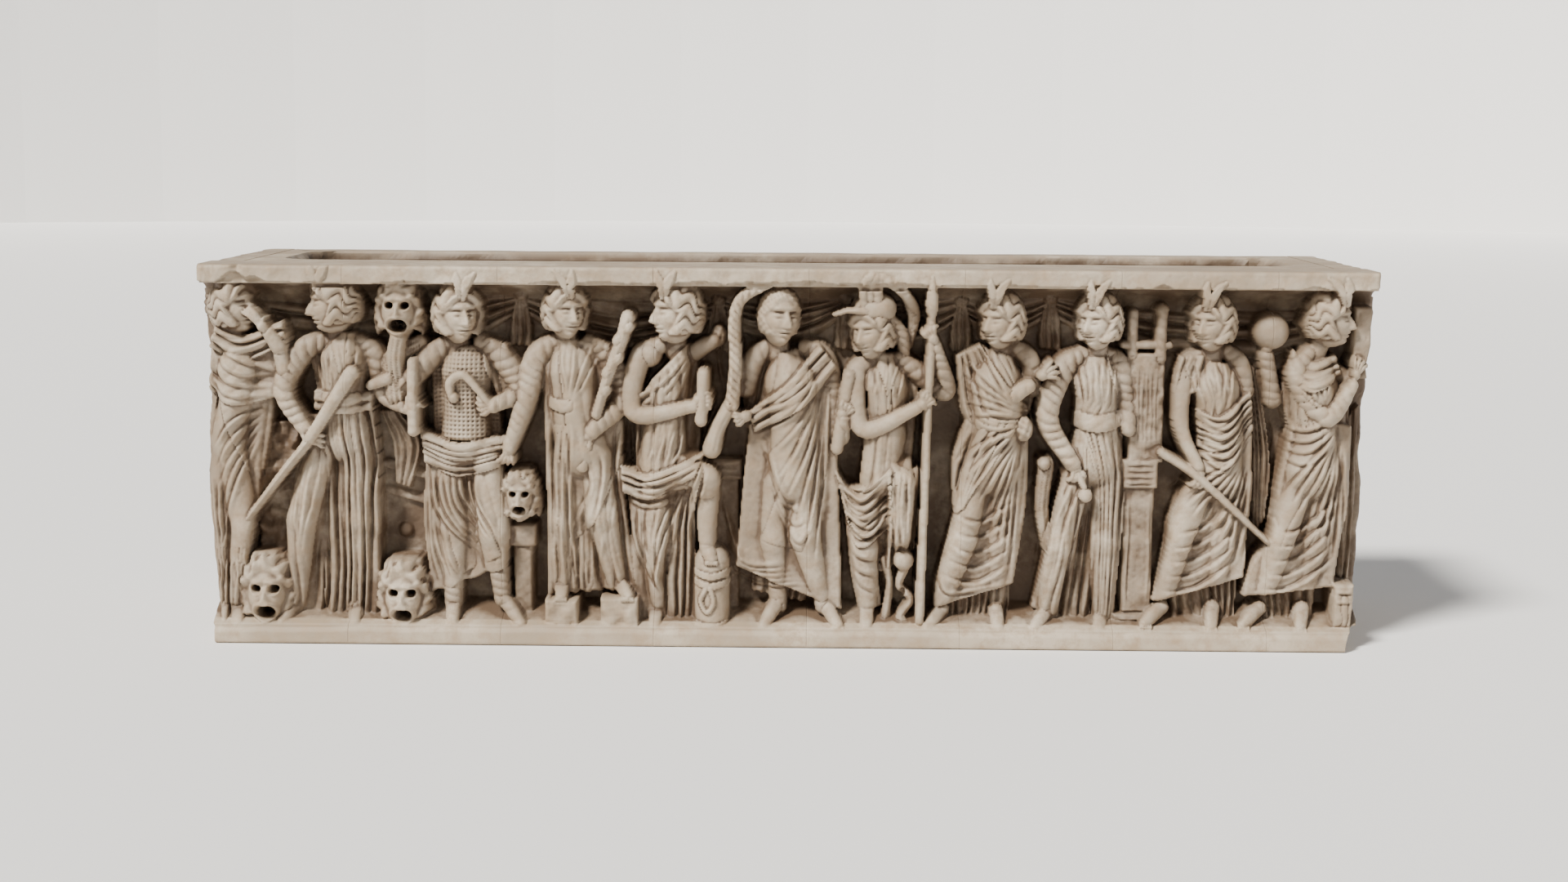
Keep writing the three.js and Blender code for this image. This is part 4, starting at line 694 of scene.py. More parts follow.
tube([(177, 392, 64, 5), (167, 10, 60, 6)])
tube([(177, 436, 75, 1.5), (177, 418, 71, 6.5), (177, 400, 67, 8), (177, 386, 66, 4)])
hand((167, 281, 66), 50, reach=11, curl=1.1)
hand((178, 362, 64), 120, reach=11, curl=1.1)
foot((102, 20, 38), (101, -3, 62))
head((105, 366, 46), turn=-38, tilt=-6)
egg((108, 396, 46), (27, 21, 26), 4)
tube([(58, 389, 60, 3), (80, 395, 66, 4), (108, 392, 66, 4)])
for k in range(3):
    tube([(96 + 7 * k, 402, 60, 7), (94 + 9 * k, 428 + 2 * k, 69, 6.5), (110 + 8 * k, 436 - 3 * k, 69, 7),
          (140 + 4 * k, 420 - 5 * k, 56, 7), (154 + 2 * k, 388, 38, 6.5), (152, 350, 30, 4)], rings=0.7)
tube([(124, 385, 46, 8), (140, 366, 40, 9), (146, 336, 34, 7)], twist=2.2)

# Muse in the crossed mantle: marble, the mantle drawn from shoulder to hip into a knot, its folds
# raying down from there over the leg; the hand reaches out to her neighbour's shoulder.
body = [[(264, 347, 38, 12), (259, 304, 34, 33), (262, 251, 34, 31), (254, 200, 34, 36)],
        [(234, 190, 38, 20), (217, 110, 48, 20), (195, 24, 38, 12)],
        [(271, 190, 34, 20), (266, 107, 36, 18), (263, 21, 36, 12)]]
drape([(196, 52), (196, -5)], [(281, 72), (278, -6)], folds=10, out=32, deep=7, hem=4, seed=40)
drape([(284, 256), (223, 200), (208, 136), (189, 66), (185, 25)],
      [(298, 259), (298, 170), (291, 108), (283, 56)],
      folds=0, out=47, body=body, deep=7, sway=0.04, hem=3, seed=41)
drape([(224, 265), (206, 211), (208, 144)], [(290, 261), (262, 223), (218, 152)], folds=6, out=42, lift=3,
      body=body, deep=6, seed=42)
drape([(240, 350), (268, 306), (290, 275)], [(299, 331), (307, 303), (300, 266)], folds=5, out=34,
      body=body, deep=4, seed=43)
drape([(238, 352), (268, 306), (298, 276)], [(208, 338), (215, 272), (236, 250), (294, 252)], folds=7,
      out=42, lift=4, body=body, deep=6, seed=44)
pleats([(212, 340), (257, 301), (298, 276)], [(218, 265), (258, 270), (298, 266)], 5, 3.2, 3.0)
pleats([(288, 251), (248, 235), (209, 204)], [(294, 225), (285, 144), (282, 57)], 9, 4.5, 3.4)
pleats([(284, 160), (244, 132), (206, 140)], [(282, 80), (236, 54), (190, 66)], 5, 4.5, 3.8)
pleats([(188, 71), (206, 45), (282, 57)], [(191, 56), (206, 38), (282, 57)], 1, 4.0, 3.0)
egg((292, 250, 52), (12, 16, 14), locks=2)
tube([(280, 350, 34, 10), (299, 333, 34, 13), (304, 298, 34, 11)], rings=1.0)
tube([(252, 276, 50, 14), (296, 304, 62, 9)], rings=1.6)
hand((313, 318, 64), 28, reach=14, curl=0.4)
foot((196, 17, 38), (177, -3, 62))
foot((263, 16, 40), (264, -3, 62))
feathers(head((263, 380, 48), turn=-45), lean=4)
tube([(322, 205, 40, 10), (318, 150, 34, 9), (326, 100, 30, 7)], rough=1.6)

# Muse with a plectrum and kithara: marble, long sleeves, belt and slanting strap, the chiton in
# deep flutes; the kithara stands on a pillar beside her.
slab((417, 12, 2), (457, 185, 38), taper=0.08)
slab((408, -13, 2), (462, 18, 46))
slab((416, 176, 2), (460, 212, 44))
slab((422, 208, 2), (465, 343, 42), rough=1.4)
pleats([(423, 20), (425, 170)], [(450, 20), (451, 170)], 2, 2.4, 1.8)
pleats([(410, 12), (460, 12)], [(412, 22), (458, 22)], 2, 2.4, 2.0)
pleats([(417, 183), (459, 183)], [(417, 206), (459, 206)], 4, 2.4, 1.8)
pleats([(432, 225), (432, 332)], [(454, 225), (454, 332)], 5, 1.6, 1.4)
tube([(425, 340, 34, 7), (425, 392, 34, 7)], rings=1.5)
tube([(459, 338, 36, 8), (460, 388, 38, 7), (460, 396, 38, 9)], rings=1.5)
tube([(414, 353, 36, 5), (470, 353, 38, 5)])
body = [[(382, 345, 38, 12), (377, 304, 34, 31), (382, 256, 32, 27), (380, 210, 34, 33)],
        [(360, 190, 38, 20), (334, 105, 50, 20), (328, 24, 38, 12)],
        [(397, 190, 34, 20), (395, 107, 36, 18), (395, 17, 36, 12)]]
drape([(359, 250), (337, 170), (324, 100), (308, 26)], [(376, 245), (388, 170), (386, 87), (379, 3)], folds=6,
      out=36, body=body, deep=6, hem=3, seed=45)
drape([(363, 251), (380, 170), (384, 5)], [(415, 253), (418, 149), (409, 10)], folds=7, out=42, body=body,
      deep=8, hem=5, seed=46)
drape([(346, 337), (356, 292), (357, 265)], [(412, 340), (420, 292), (410, 265)], folds=8, out=34, body=body,
      deep=4, seed=47)
drape([(355, 272), (382, 268), (411, 273)], [(356, 252), (382, 248), (411, 253)], folds=1, out=44, lift=5,
      body=body, deep=3, seed=48)
drape([(392, 345), (400, 310), (411, 285)], [(400, 345), (408, 312), (417, 290)], folds=0, out=38, lift=4,
      body=body, edge=3)
pleats([(359, 342), (362, 312), (368, 276)], [(406, 337), (402, 307), (400, 277)], 6, 2.6, 2.4)
pleats([(364, 206), (331, 134), (313, 42)], [(380, 165), (372, 104), (368, 32)], 4, 3.8, 3.4)
tube([(364, 342, 36, 10), (340, 323, 42, 15), (321, 264, 50, 14), (352, 208, 60, 10)], rings=2.4)
tube([(394, 342, 34, 9), (410, 328, 32, 13), (419, 281, 34, 11), (421, 249, 44, 9)], rings=1.6)
tube([(358, 198, 64, 5), (366, 180, 68, 4)])
egg((368, 170, 66), (9, 9, 8))
hand((356, 202, 62), 285, reach=11, curl=0.8)
egg((318, 207, 52), (8, 8, 8))
foot((328, 17, 38), (309, -3, 62))
foot((394, 13, 38), (389, -4, 62))
feathers(head((382, 380, 48), turn=-40), lean=5)

# Muse with the globe: marble, mantle in thick folds round the waist; a long pointer slants down
# across her, and a globe is held up behind her shoulder.
tube([(600, 286, 26, 12), (590, 340, 30, 10)], rings=1.6)
egg((594, 371, 32), 23)
hand((590, 352, 36), 80, reach=11)
drape([(564, 335), (577, 252), (583, 125)], [(582, 320), (600, 211), (597, 142)], folds=5, out=24, deep=7,
      hem=6, seed=49)
body = [[(526, 343, 38, 12), (528, 302, 34, 30), (537, 241, 34, 27), (533, 190, 34, 33)],
        [(512, 180, 38, 20), (485, 114, 46, 19), (469, 26, 38, 12)],
        [(548, 179, 34, 20), (541, 107, 36, 18), (533, 27, 36, 12)]]
drape([(481, 56), (485, 5)], [(563, 78), (560, 5)], folds=9, out=32, deep=7, hem=4, seed=50)
drape([(508, 213), (478, 143), (472, 103), (456, 36)], [(573, 262), (575, 170), (571, 118), (569, 68)],
      folds=0, out=46, body=body, deep=7, sway=0.04, hem=3, seed=51)
drape([(491, 337), (502, 292), (505, 265)], [(556, 330), (566, 303), (565, 268)], folds=7, out=34, body=body,
      deep=4, seed=52)
drape([(503, 276), (530, 268), (569, 298)], [(508, 240), (537, 238), (572, 275)], folds=4, out=46, lift=6,
      body=body, deep=6, seed=53)
drape([(506, 242), (537, 238), (572, 276)], [(510, 196), (547, 206), (574, 250)], folds=4, out=44, lift=3,
      body=body, deep=6, seed=54)
drape([(482, 340), (476, 312), (474, 298)], [(512, 342), (506, 312), (500, 298)], folds=4, out=48, lift=3,
      deep=5, hem=3, seed=55)
pleats([(486, 338), (496, 313), (512, 278)], [(550, 338), (546, 313), (542, 283)], 6, 2.6, 2.4)
pleats([(505, 272), (538, 268), (571, 303)], [(504, 222), (539, 207), (573, 248)], 6, 4.0, 3.0)
pleats([(559, 217), (510, 187), (476, 161)], [(580, 207), (577, 136), (569, 65)], 9, 4.5, 3.4)
pleats([(566, 172), (520, 128), (476, 118)], [(566, 92), (510, 50), (462, 44)], 5, 4.5, 3.8)
tube([(540, 346, 34, 10), (556, 330, 34, 13), (565, 298, 34, 11)], rings=1.0)
tube([(508, 340, 36, 10), (490, 323, 38, 13), (485, 256, 50, 10), (505, 206, 62, 8)])
tube([(462, 222, 56, 6), (507, 192, 66, 5.5), (595, 112, 60, 3.5)])
hand((507, 196, 62), 275, reach=12, curl=0.9)
foot((469, 22, 38), (446, 4, 60))
foot((532, 22, 40), (527, 1, 62))
feathers(head((521, 379, 48), turn=-40), lean=6)

# Muse with the tablet, far right: marble, in profile to the right, hair tied behind; the mantle
# fans from the waist; a book box stands at the corner.
drape([(696, 261), (693, 149), (690, 64)], [(718, 279), (713, 129), (711, 60)], folds=2, out=16, deep=5,
      seed=56)
tube([(694, 40, 42, 17), (694, 4, 42, 17)])
slab((678, -10, 20), (711, 60, 57), taper=0.06)
pleats([(679, 50), (710, 50)], [(679, 38), (710, 38)], 2, 2.6, 2.4)
body = [[(654, 345, 36, 12), (648, 299, 34, 31), (651, 241, 34, 28), (648, 200, 34, 36)],
        [(634, 185, 38, 20), (611, 114, 46, 19), (591, 28, 38, 12)],
        [(665, 184, 34, 20), (657, 107, 36, 18), (645, 27, 36, 12)]]
drape([(589, 58), (595, 4)], [(662, 69), (656, 4)], folds=8, out=32, deep=7, hem=4, seed=57)
drape([(623, 266), (608, 190), (598, 118), (578, 84), (567, 45)],
      [(697, 256), (695, 170), (686, 108), (680, 58)],
      folds=0, out=47, body=body, deep=7, sway=0.05, hem=3, seed=58)
drape([(660, 255), (640, 190), (604, 110)], [(694, 250), (676, 180), (640, 96)], folds=2, out=42, lift=1,
      body=body, deep=3, seed=59)
drape([(619, 332), (611, 292), (620, 254)], [(681, 332), (695, 292), (695, 246)], folds=7, out=34, body=body,
      deep=4, seed=60)
pleats([(615, 334), (631, 299), (657, 269)], [(655, 339), (661, 314), (662, 289)], 5, 3.0, 2.8)
pleats([(683, 254), (640, 208), (611, 162)], [(688, 239), (692, 147), (690, 71)], 9, 4.5, 3.4)
pleats([(684, 170), (640, 128), (604, 122)], [(684, 92), (628, 52), (586, 48)], 5, 4.5, 3.8)
pleats([(610, 253), (638, 253), (672, 269)], [(609, 218), (639, 213), (678, 249)], 4, 4.0, 3.2)
drape([(620, 350), (642, 334), (672, 344)], [(612, 318), (640, 300), (680, 318)], folds=4, out=42, lift=6,
      body=body, deep=6, seed=61)
tube([(640, 344, 38, 10), (627, 316, 44, 15), (660, 268, 56, 13), (692, 308, 60, 8)], rings=1.5)
tube([(681, 319, 30, 11), (698, 305, 34, 9)])
slab((694, 314, 30), (719, 403, 46))
hand((697, 322, 58), 70, reach=14)
foot((590, 22, 38), (567, 3, 60))
foot((643, 22, 40), (637, 1, 62))
feathers(head((664, 385, 46), turn=66, neck=-12), lean=-8)


# Wear and breaks of the carved front: the marble is softly weathered, the rim's underside is
# broken out above the first figure, and the lower right corner of the ledge is gone. Brown soil and
# painted shade fill the hollows: a cell is the darker the further it lies below the mean of the cells
# round it, and painted shade darkens it further the deeper it lies behind the rim's plane.
PLAIN_SOIL = 0.22
for crack in ([(600, 262), (606, 240), (602, 214), (611, 190)], [(604, 176), (600, 152), (608, 128)],
              [(-718, 300), (-706, 284), (-712, 262)]):
    pleats(crack, crack, 1, -5, 1.5)
worn = (VV > 4) & (VV < RIM_FOOT - 2)
relief = np.where(worn, 0.85 * relief + 0.15 * blur(relief, 1), relief)
relief += 0.16 * cloud(relief.shape, 1) + 0.4 * cloud(relief.shape, 6) * worn
lip = RIM_FOOT + 5 * np.exp(-((u + 60) / 420) ** 2) + 1.0 * cloud(u.size, 9) + 0.3 * cloud(u.size, 2)
for x, deep, wide in ((-672, 15, 16), (-648, 9, 14), (-300, 4, 9), (150, 5, 12), (455, 6, 10), (640, 5, 14)):
    lip = np.maximum(lip, RIM_FOOT + deep * np.exp(-((u - x) / wide) ** 2))
chipped = (VV > RIM_FOOT - 4) & (VV < lip[None, :]) & (relief < RIM_OUT + 0.8)
relief = np.where(chipped, np.minimum(relief, 67 + 1.5 * cloud(relief.shape, 3)), relief)
foot_line = -3.0 + 0.8 * cloud(u.size, 12)
edge_down = np.clip((VV - foot_line[None, :] + 5) / 6, 0, 1)
relief = np.where((VV < 3) & (relief < RIM_OUT + 2), RIM_OUT - 4 * edge_down**2, relief)
top_edge = np.clip(1 - (v[-1] - VV) / 5, 0, 1)
bottom_edge = np.clip(1 - (VV - v[0]) / 4, 0, 1)
relief -= 5 * (1 - np.sqrt(1 - top_edge**2)) + 4 * (1 - np.sqrt(1 - bottom_edge**2))
relief += np.where(VV > lip[None, :], 0.5 * cloud(relief.shape, 4), 0)
relief -= 10 * np.exp(-(((UU + 668) / 5) ** 2)) * smooth((VV - RIM_FOOT - 12) / 8)
corner = smooth((UU - 697 - 0.4 * (VV - v[0]) + 3 * cloud(relief.shape, 5)) / 12) * smooth((8 - VV) / 8)
relief -= 95 * corner
relief = np.clip(relief, -6, 77.7)
# Painted shade and brown soil: the first three terms darken hollows below the mean round them (soil and
# painted shade); the depth and ground terms darken deep cells (painted shade).
front_soil_and_shade = 0.8 * np.clip((blur(relief, 12) - relief) / 20, 0, 1)
front_soil_and_shade += 0.5 * np.clip((blur(relief, 5) - relief) / 9, 0, 1)
front_soil_and_shade += 0.9 * np.clip((blur(relief, 2) - relief) / 3.2, 0, 1)
front_soil_and_shade += 0.64 * np.clip((71 - relief) / 60, 0, 1) + 0.2 * smooth((24 - relief) / 18)
front_soil_and_shade = np.clip(front_soil_and_shade * (VV > 6) * (VV < RIM_FOOT) + 0.06, 0, 1)
front_soil_and_shade[[0, -1]] = PLAIN_SOIL


# The carved front in eight tiles that share their edge columns, each a closed shallow block of the
# marble in front of the chest's body. The outermost columns are drawn in to the worn end faces.
PANEL_BACK = -0.156
TILE_COLUMNS, TILES = 140, 8
END_FROM = 690
DARKER_CREAM = (0.33, 0.262, 0.185)
PALE_CREAM = (0.55, 0.465, 0.36)
TAN_GRAIN = (0.34, 0.25, 0.16)
OCHRE_STREAK = (0.36, 0.25, 0.155)
# The brown of soil and painted shade in the hollows.
BROWN_SOIL_AND_SHADE = (0.105, 0.066, 0.038)


def closed_mesh(name, vertices, faces, smooth_faces, dark):
    """A closed mesh from rows of vertices and faces, with the soil and painted shade of its hollows as an
    attribute.
    """
    mesh = bpy.data.meshes.new(name)
    counts = np.concatenate([np.full(len(f), f.shape[1]) for f in faces])
    corners = np.concatenate([f.ravel() for f in faces])
    mesh.vertices.add(len(vertices))
    mesh.vertices.foreach_set("co", vertices.astype(np.float32).ravel())
    mesh.loops.add(len(corners))
    mesh.loops.foreach_set("vertex_index", corners.astype(np.int32))
    mesh.polygons.add(len(counts))
    mesh.polygons.foreach_set("loop_start", (np.cumsum(counts) - counts).astype(np.int32))
    mesh.polygons.foreach_set("use_smooth", smooth_faces)
    mesh.update(calc_edges=True)
    mesh.validate()
    # The attribute holds brown soil and painted shade together.
    soil_and_shade = mesh.attributes.new("soil_and_shade", "FLOAT", "POINT")
    soil_and_shade.data.foreach_set("value", dark.astype(np.float32))
    piece = bpy.data.objects.new(name, mesh)
    bpy.context.scene.collection.objects.link(piece)
    return piece


def grid_block(name, X, Y, Z, axis, level, dark):
    """A block whose face is a grid of positions and whose back lies flat: the face's outline is
    repeated with that axis at the back's level, joined by walls, and closed by a fan."""
    rows, columns = X.shape
    n = rows * columns
    face = np.stack([X, Y, Z], -1).reshape(-1, 3)
    index = np.arange(n).reshape(rows, columns)
    ring = np.concatenate([index[0, :-1], index[:-1, -1], index[-1, :0:-1], index[:0:-1, 0]])
    back = face[ring]
    back[:, axis] = level
    middle = back.mean(0, keepdims=True)
    own = n + np.arange(len(ring))
    after = np.roll(own, -1)
    quads = np.stack([index[:-1, :-1], index[:-1, 1:], index[1:, 1:], index[1:, :-1]], -1).reshape(-1, 4)
    walls = np.stack([ring, own, after, np.roll(ring, -1)], -1)
    fan = np.stack([np.full(len(ring), n + len(ring)), after, own], -1)
    vertices = np.vstack([face, back, middle])
    soft = np.concatenate([np.ones(len(quads), bool), np.zeros(len(walls) + len(fan), bool)])
    shade = np.concatenate([dark.ravel(), np.full(len(ring) + 1, PLAIN_SOIL)])
    return closed_mesh(name, vertices, [quads, walls, fan], soft, shade)


def marble():
    """Veined pinkish-cream marble: cream tones and ochre patches by noise, and brown soil with painted
    shade where the attribute of soil and painted shade is high, so the crests stay pale; fine grain and
    scattered pits as bump."""
    m = bpy.data.materials.new("marble")
    m.use_nodes = True
    nodes, links = m.node_tree.nodes, m.node_tree.links
    shader = nodes["Principled BSDF"]
    place = nodes.new("ShaderNodeTexCoord")

    def noise(scale, detail, rough):
        """Fractal noise of that many blotches a metre."""
        node = nodes.new("ShaderNodeTexNoise")
        node.inputs["Scale"].default_value = scale
        node.inputs["Detail"].default_value = detail
        node.inputs["Roughness"].default_value = rough
        links.new(place.outputs["Object"], node.inputs["Vector"])
        return node.outputs["Fac"]

    def ramp(value, low, high):
        """Zero at low, one at high and straight between."""
        node = nodes.new("ShaderNodeMapRange")
        node.inputs["From Min"].default_value = low
        node.inputs["From Max"].default_value = high
        links.new(value, node.inputs["Value"])
        return node.outputs["Result"]

    def mix(share, a, b):
        """Colour a changing to colour b as the share goes from zero to one."""
        node = nodes.new("ShaderNodeMix")
        node.data_type = "RGBA"
        links.new(share, node.inputs[0])
        for socket, value in ((node.inputs[6], a), (node.inputs[7], b)):
            if isinstance(value, tuple):
                socket.default_value = (*value, 1)
            else:
                links.new(value, socket)
        return node.outputs[2]

    soil_and_shade = nodes.new("ShaderNodeAttribute")
    soil_and_shade.attribute_name = "soil_and_shade"
    broad = ramp(noise(3.2, 4, 0.6), 0.40, 0.66)
    fine = ramp(noise(38, 5, 0.65), 0.42, 0.70)
    base = mix(broad, DARKER_CREAM, PALE_CREAM)
    base = mix(fine, base, TAN_GRAIN)
    streak = nodes.new("ShaderNodeTexNoise")
    streak.inputs["Scale"].default_value = 2.2
    streak.inputs["Detail"].default_value = 6
    streak.inputs["Distortion"].default_value = 1.6
    links.new(place.outputs["Object"], streak.inputs["Vector"])
    base = mix(ramp(streak.outputs["Fac"], 0.60, 0.78), base, OCHRE_STREAK)
    # Brown soil and painted shade: the attribute, broken up by noise, mixes in the brown where hollows and
    # deep relief lie in shade.
    soil_and_shade_share = nodes.new("ShaderNodeMath")
    soil_and_shade_share.operation = "MULTIPLY"
    links.new(ramp(soil_and_shade.outputs["Fac"], 0.02, 0.62), soil_and_shade_share.inputs[0])
    links.new(ramp(noise(14, 4, 0.6), 0.10, 0.55), soil_and_shade_share.inputs[1])
    base = mix(soil_and_shade_share.outputs["Value"], base, BROWN_SOIL_AND_SHADE)
    links.new(base, shader.inputs["Base Color"])
    shader.inputs["Roughness"].default_value = 0.62
    shader.inputs["Subsurface Weight"].default_value = 0.0
    bump = nodes.new("ShaderNodeBump")
    bump.inputs["Strength"].default_value = 0.35
    bump.inputs["Distance"].default_value = 0.002
    links.new(noise(210, 6, 0.7), bump.inputs["Height"])
    links.new(bump.outputs["Normal"], shader.inputs["Normal"])
    return m


stone = marble()


def belongs(piece):
    """This piece shows part of the chest's one marble block."""
    piece.data.materials.append(stone)
    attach(piece, "root")
    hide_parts("chest")


reach_out = np.interp(v, [v[0], -3, 4, 40, 330, 395, RIM_FOOT, v[-1]],
                      [1.041, 1.041, 1.045, 1.054, 1.060, 1.068, 1.057, 1.057])
reach_out += 0.003 * cloud(v.size, 9) * (v > 10) * (v < RIM_FOOT - 10)
limit = (reach_out / ACROSS)[:, None]
ends_in = np.clip((np.abs(UU) - END_FROM) / (HALF_ACROSS - END_FROM), 0, 1)
broken = 14 * smooth((0.050 - (v[:, None] * UPWARD + LEDGE_Z)) / 0.045) * (UU > 0)
drawn_in = np.sign(UU) * (END_FROM + ends_in * (limit - broken - END_FROM))
across = np.where(np.abs(UU) > END_FROM, drawn_in, UU)
relief -= 8 * (1 - np.sqrt(1 - np.clip((np.abs(UU) - 722) / 8, 0, 1) ** 2))
cuts = [0, *(1 + TILE_COLUMNS * k for k in range(1, TILES)), u.size - 1]
for n, (c0, c1) in enumerate(zip(cuts[:-1], cuts[1:])):
    part = (slice(None), slice(c0, c1 + 1))
    belongs(grid_block(f"front_{n + 1}", across[part] * ACROSS, GROUND_Y - relief[part] * OUTWARD,
                       LEDGE_Z + VV[part] * UPWARD, 1, PANEL_BACK, front_soil_and_shade[part]))


# The body of the chest behind the front: thick walls and floor round an empty, round-cornered
# cavity with point-chisel marks, and a roughly dressed back.
BODY_HALF = 1.0
WALL_X, WALL_FRONT, WALL_BACK, FLOOR = 0.943, -0.096, 0.202, 0.115
CAVITY_CORNER = 0.060
OUTER_CORNER = 0.0005
INSIDE_RINGS, OUTSIDE_RINGS = 46, 52
LONG_STEPS, SHORT_STEPS = 160, 30


def rounded(half, front, back, radius):
    """The outline of a rounded rectangle as points in order, anticlockwise seen from above: a
    quarter of a circle at each corner and evenly spaced points along each straight side."""
    x0, y0 = half - radius, (back - front) / 2 - radius
    angle = np.linspace(0, math.pi / 2, 12)
    arc = np.stack([np.cos(angle), np.sin(angle)], -1) * radius
    turns = [(1, 1), (-1, 1), (-1, -1), (1, -1)]
    points = []
    for k, (sx, sy) in enumerate(turns):
        bend = arc if k % 2 == 0 else arc[::-1]
        points.append(bend * (sx, sy) + (sx * x0, sy * y0))
        nx, ny = turns[(k + 1) % 4]
        share = np.linspace(0, 1, (LONG_STEPS if sy == ny else SHORT_STEPS) + 1)[1:-1, None]
        start = points[-1][-1]
        end = (nx * x0, sy * (y0 + radius)) if sy == ny else (sx * (x0 + radius), ny * y0)
        points.append(start + (np.array(end) - start) * share)
    ring = np.vstack(points)
    ring[:, 1] += (front + back) / 2
    return ring


inner = rounded(WALL_X, WALL_FRONT, WALL_BACK, CAVITY_CORNER)
outer = rounded(BODY_HALF, PANEL_BACK, BACK_Y, OUTER_CORNER)
around = len(inner)


def ring_at(points, z):
    """A level ring of points."""
    return np.column_stack([points, np.full(len(points), z)])


inside_z = np.concatenate([[TOP_Z, TOP_Z - 0.004], np.linspace(TOP_Z - 0.014, FLOOR + 0.016, INSIDE_RINGS),
                           [FLOOR + 0.005, FLOOR]])
inset = np.concatenate([[-0.004, -0.001], np.zeros(INSIDE_RINGS), [0.004, 0.016]])
outside_z = np.concatenate([[0.0, 0.004], np.linspace(0.012, TOP_Z - 0.012, OUTSIDE_RINGS),
                            [TOP_Z - 0.004, TOP_Z]])
outside_in = np.concatenate([[0.004, 0.001], np.zeros(OUTSIDE_RINGS), [0.001, 0.004]])


def toward(points, amount):
    """Points moved towards the middle of the outline by the given lengths."""
    centre = np.array([0, points[:, 1].mean()])
    reach_x, reach_y = np.abs(points[:, 0]).max(), np.abs(points[:, 1] - centre[1]).max()
    step = np.column_stack([points[:, 0] / reach_x, (points[:, 1] - centre[1]) / reach_y])
    near = (np.abs(step) > 0.98) * np.sign(step)
    return points - near * np.asarray(amount)[..., None]


dressed = 0.006 + 0.0022 * cloud((len(outside_z), around), 1) + 0.0035 * cloud((len(outside_z), around), 3)
chiselled = 0.005 + 0.0016 * cloud((len(inside_z), around), 1) + 0.0028 * cloud((len(inside_z), around), 4)
back_side = outer[:, 1] > BACK_Y - 0.001
rings = []
for z, a, rough in zip(outside_z, outside_in, dressed):
    rings.append(ring_at(toward(outer, a + np.where(back_side, np.clip(rough, 0, 0.02), 0)), z))
for n, (z, a, rough) in enumerate(zip(inside_z, inset, chiselled)):
    rings.append(ring_at(toward(inner, a + (np.clip(rough, 0, 0.012) if 1 < n < len(inset) - 2 else 0)), z))
rings = np.array(rings)
k, count = rings.shape[:2]
index = np.arange(k * count).reshape(k, count)
after = np.roll(index, -1, axis=1)
quads = np.stack([index[:-1], after[:-1], after[1:], index[1:]], -1).reshape(-1, 4)
centres = np.array([[0, (PANEL_BACK + BACK_Y) / 2, 0], [0, (WALL_FRONT + WALL_BACK) / 2, FLOOR]])
under = np.stack([np.full(count, k * count), after[0], index[0]], -1)
floor_fan = np.stack([np.full(count, k * count + 1), index[-1], after[-1]], -1)
# Painted shade in the cavity: its walls darker towards its floor, and its floor darkest.
painted_cavity_shade = np.repeat(np.interp(inside_z, [0.45, TOP_Z - 0.013, TOP_Z], [0.85, 0.72, 0.2]), count)
soil_and_shade = np.concatenate([np.full(len(outside_z) * count, PLAIN_SOIL), painted_cavity_shade, [0.2, 0.8]])
chest_body = closed_mesh("chest_body", np.vstack([rings.reshape(-1, 3), centres]), [quads, under, floor_fan],
                         np.zeros(len(quads) + 2 * count, bool), soil_and_shade)
belongs(chest_body)


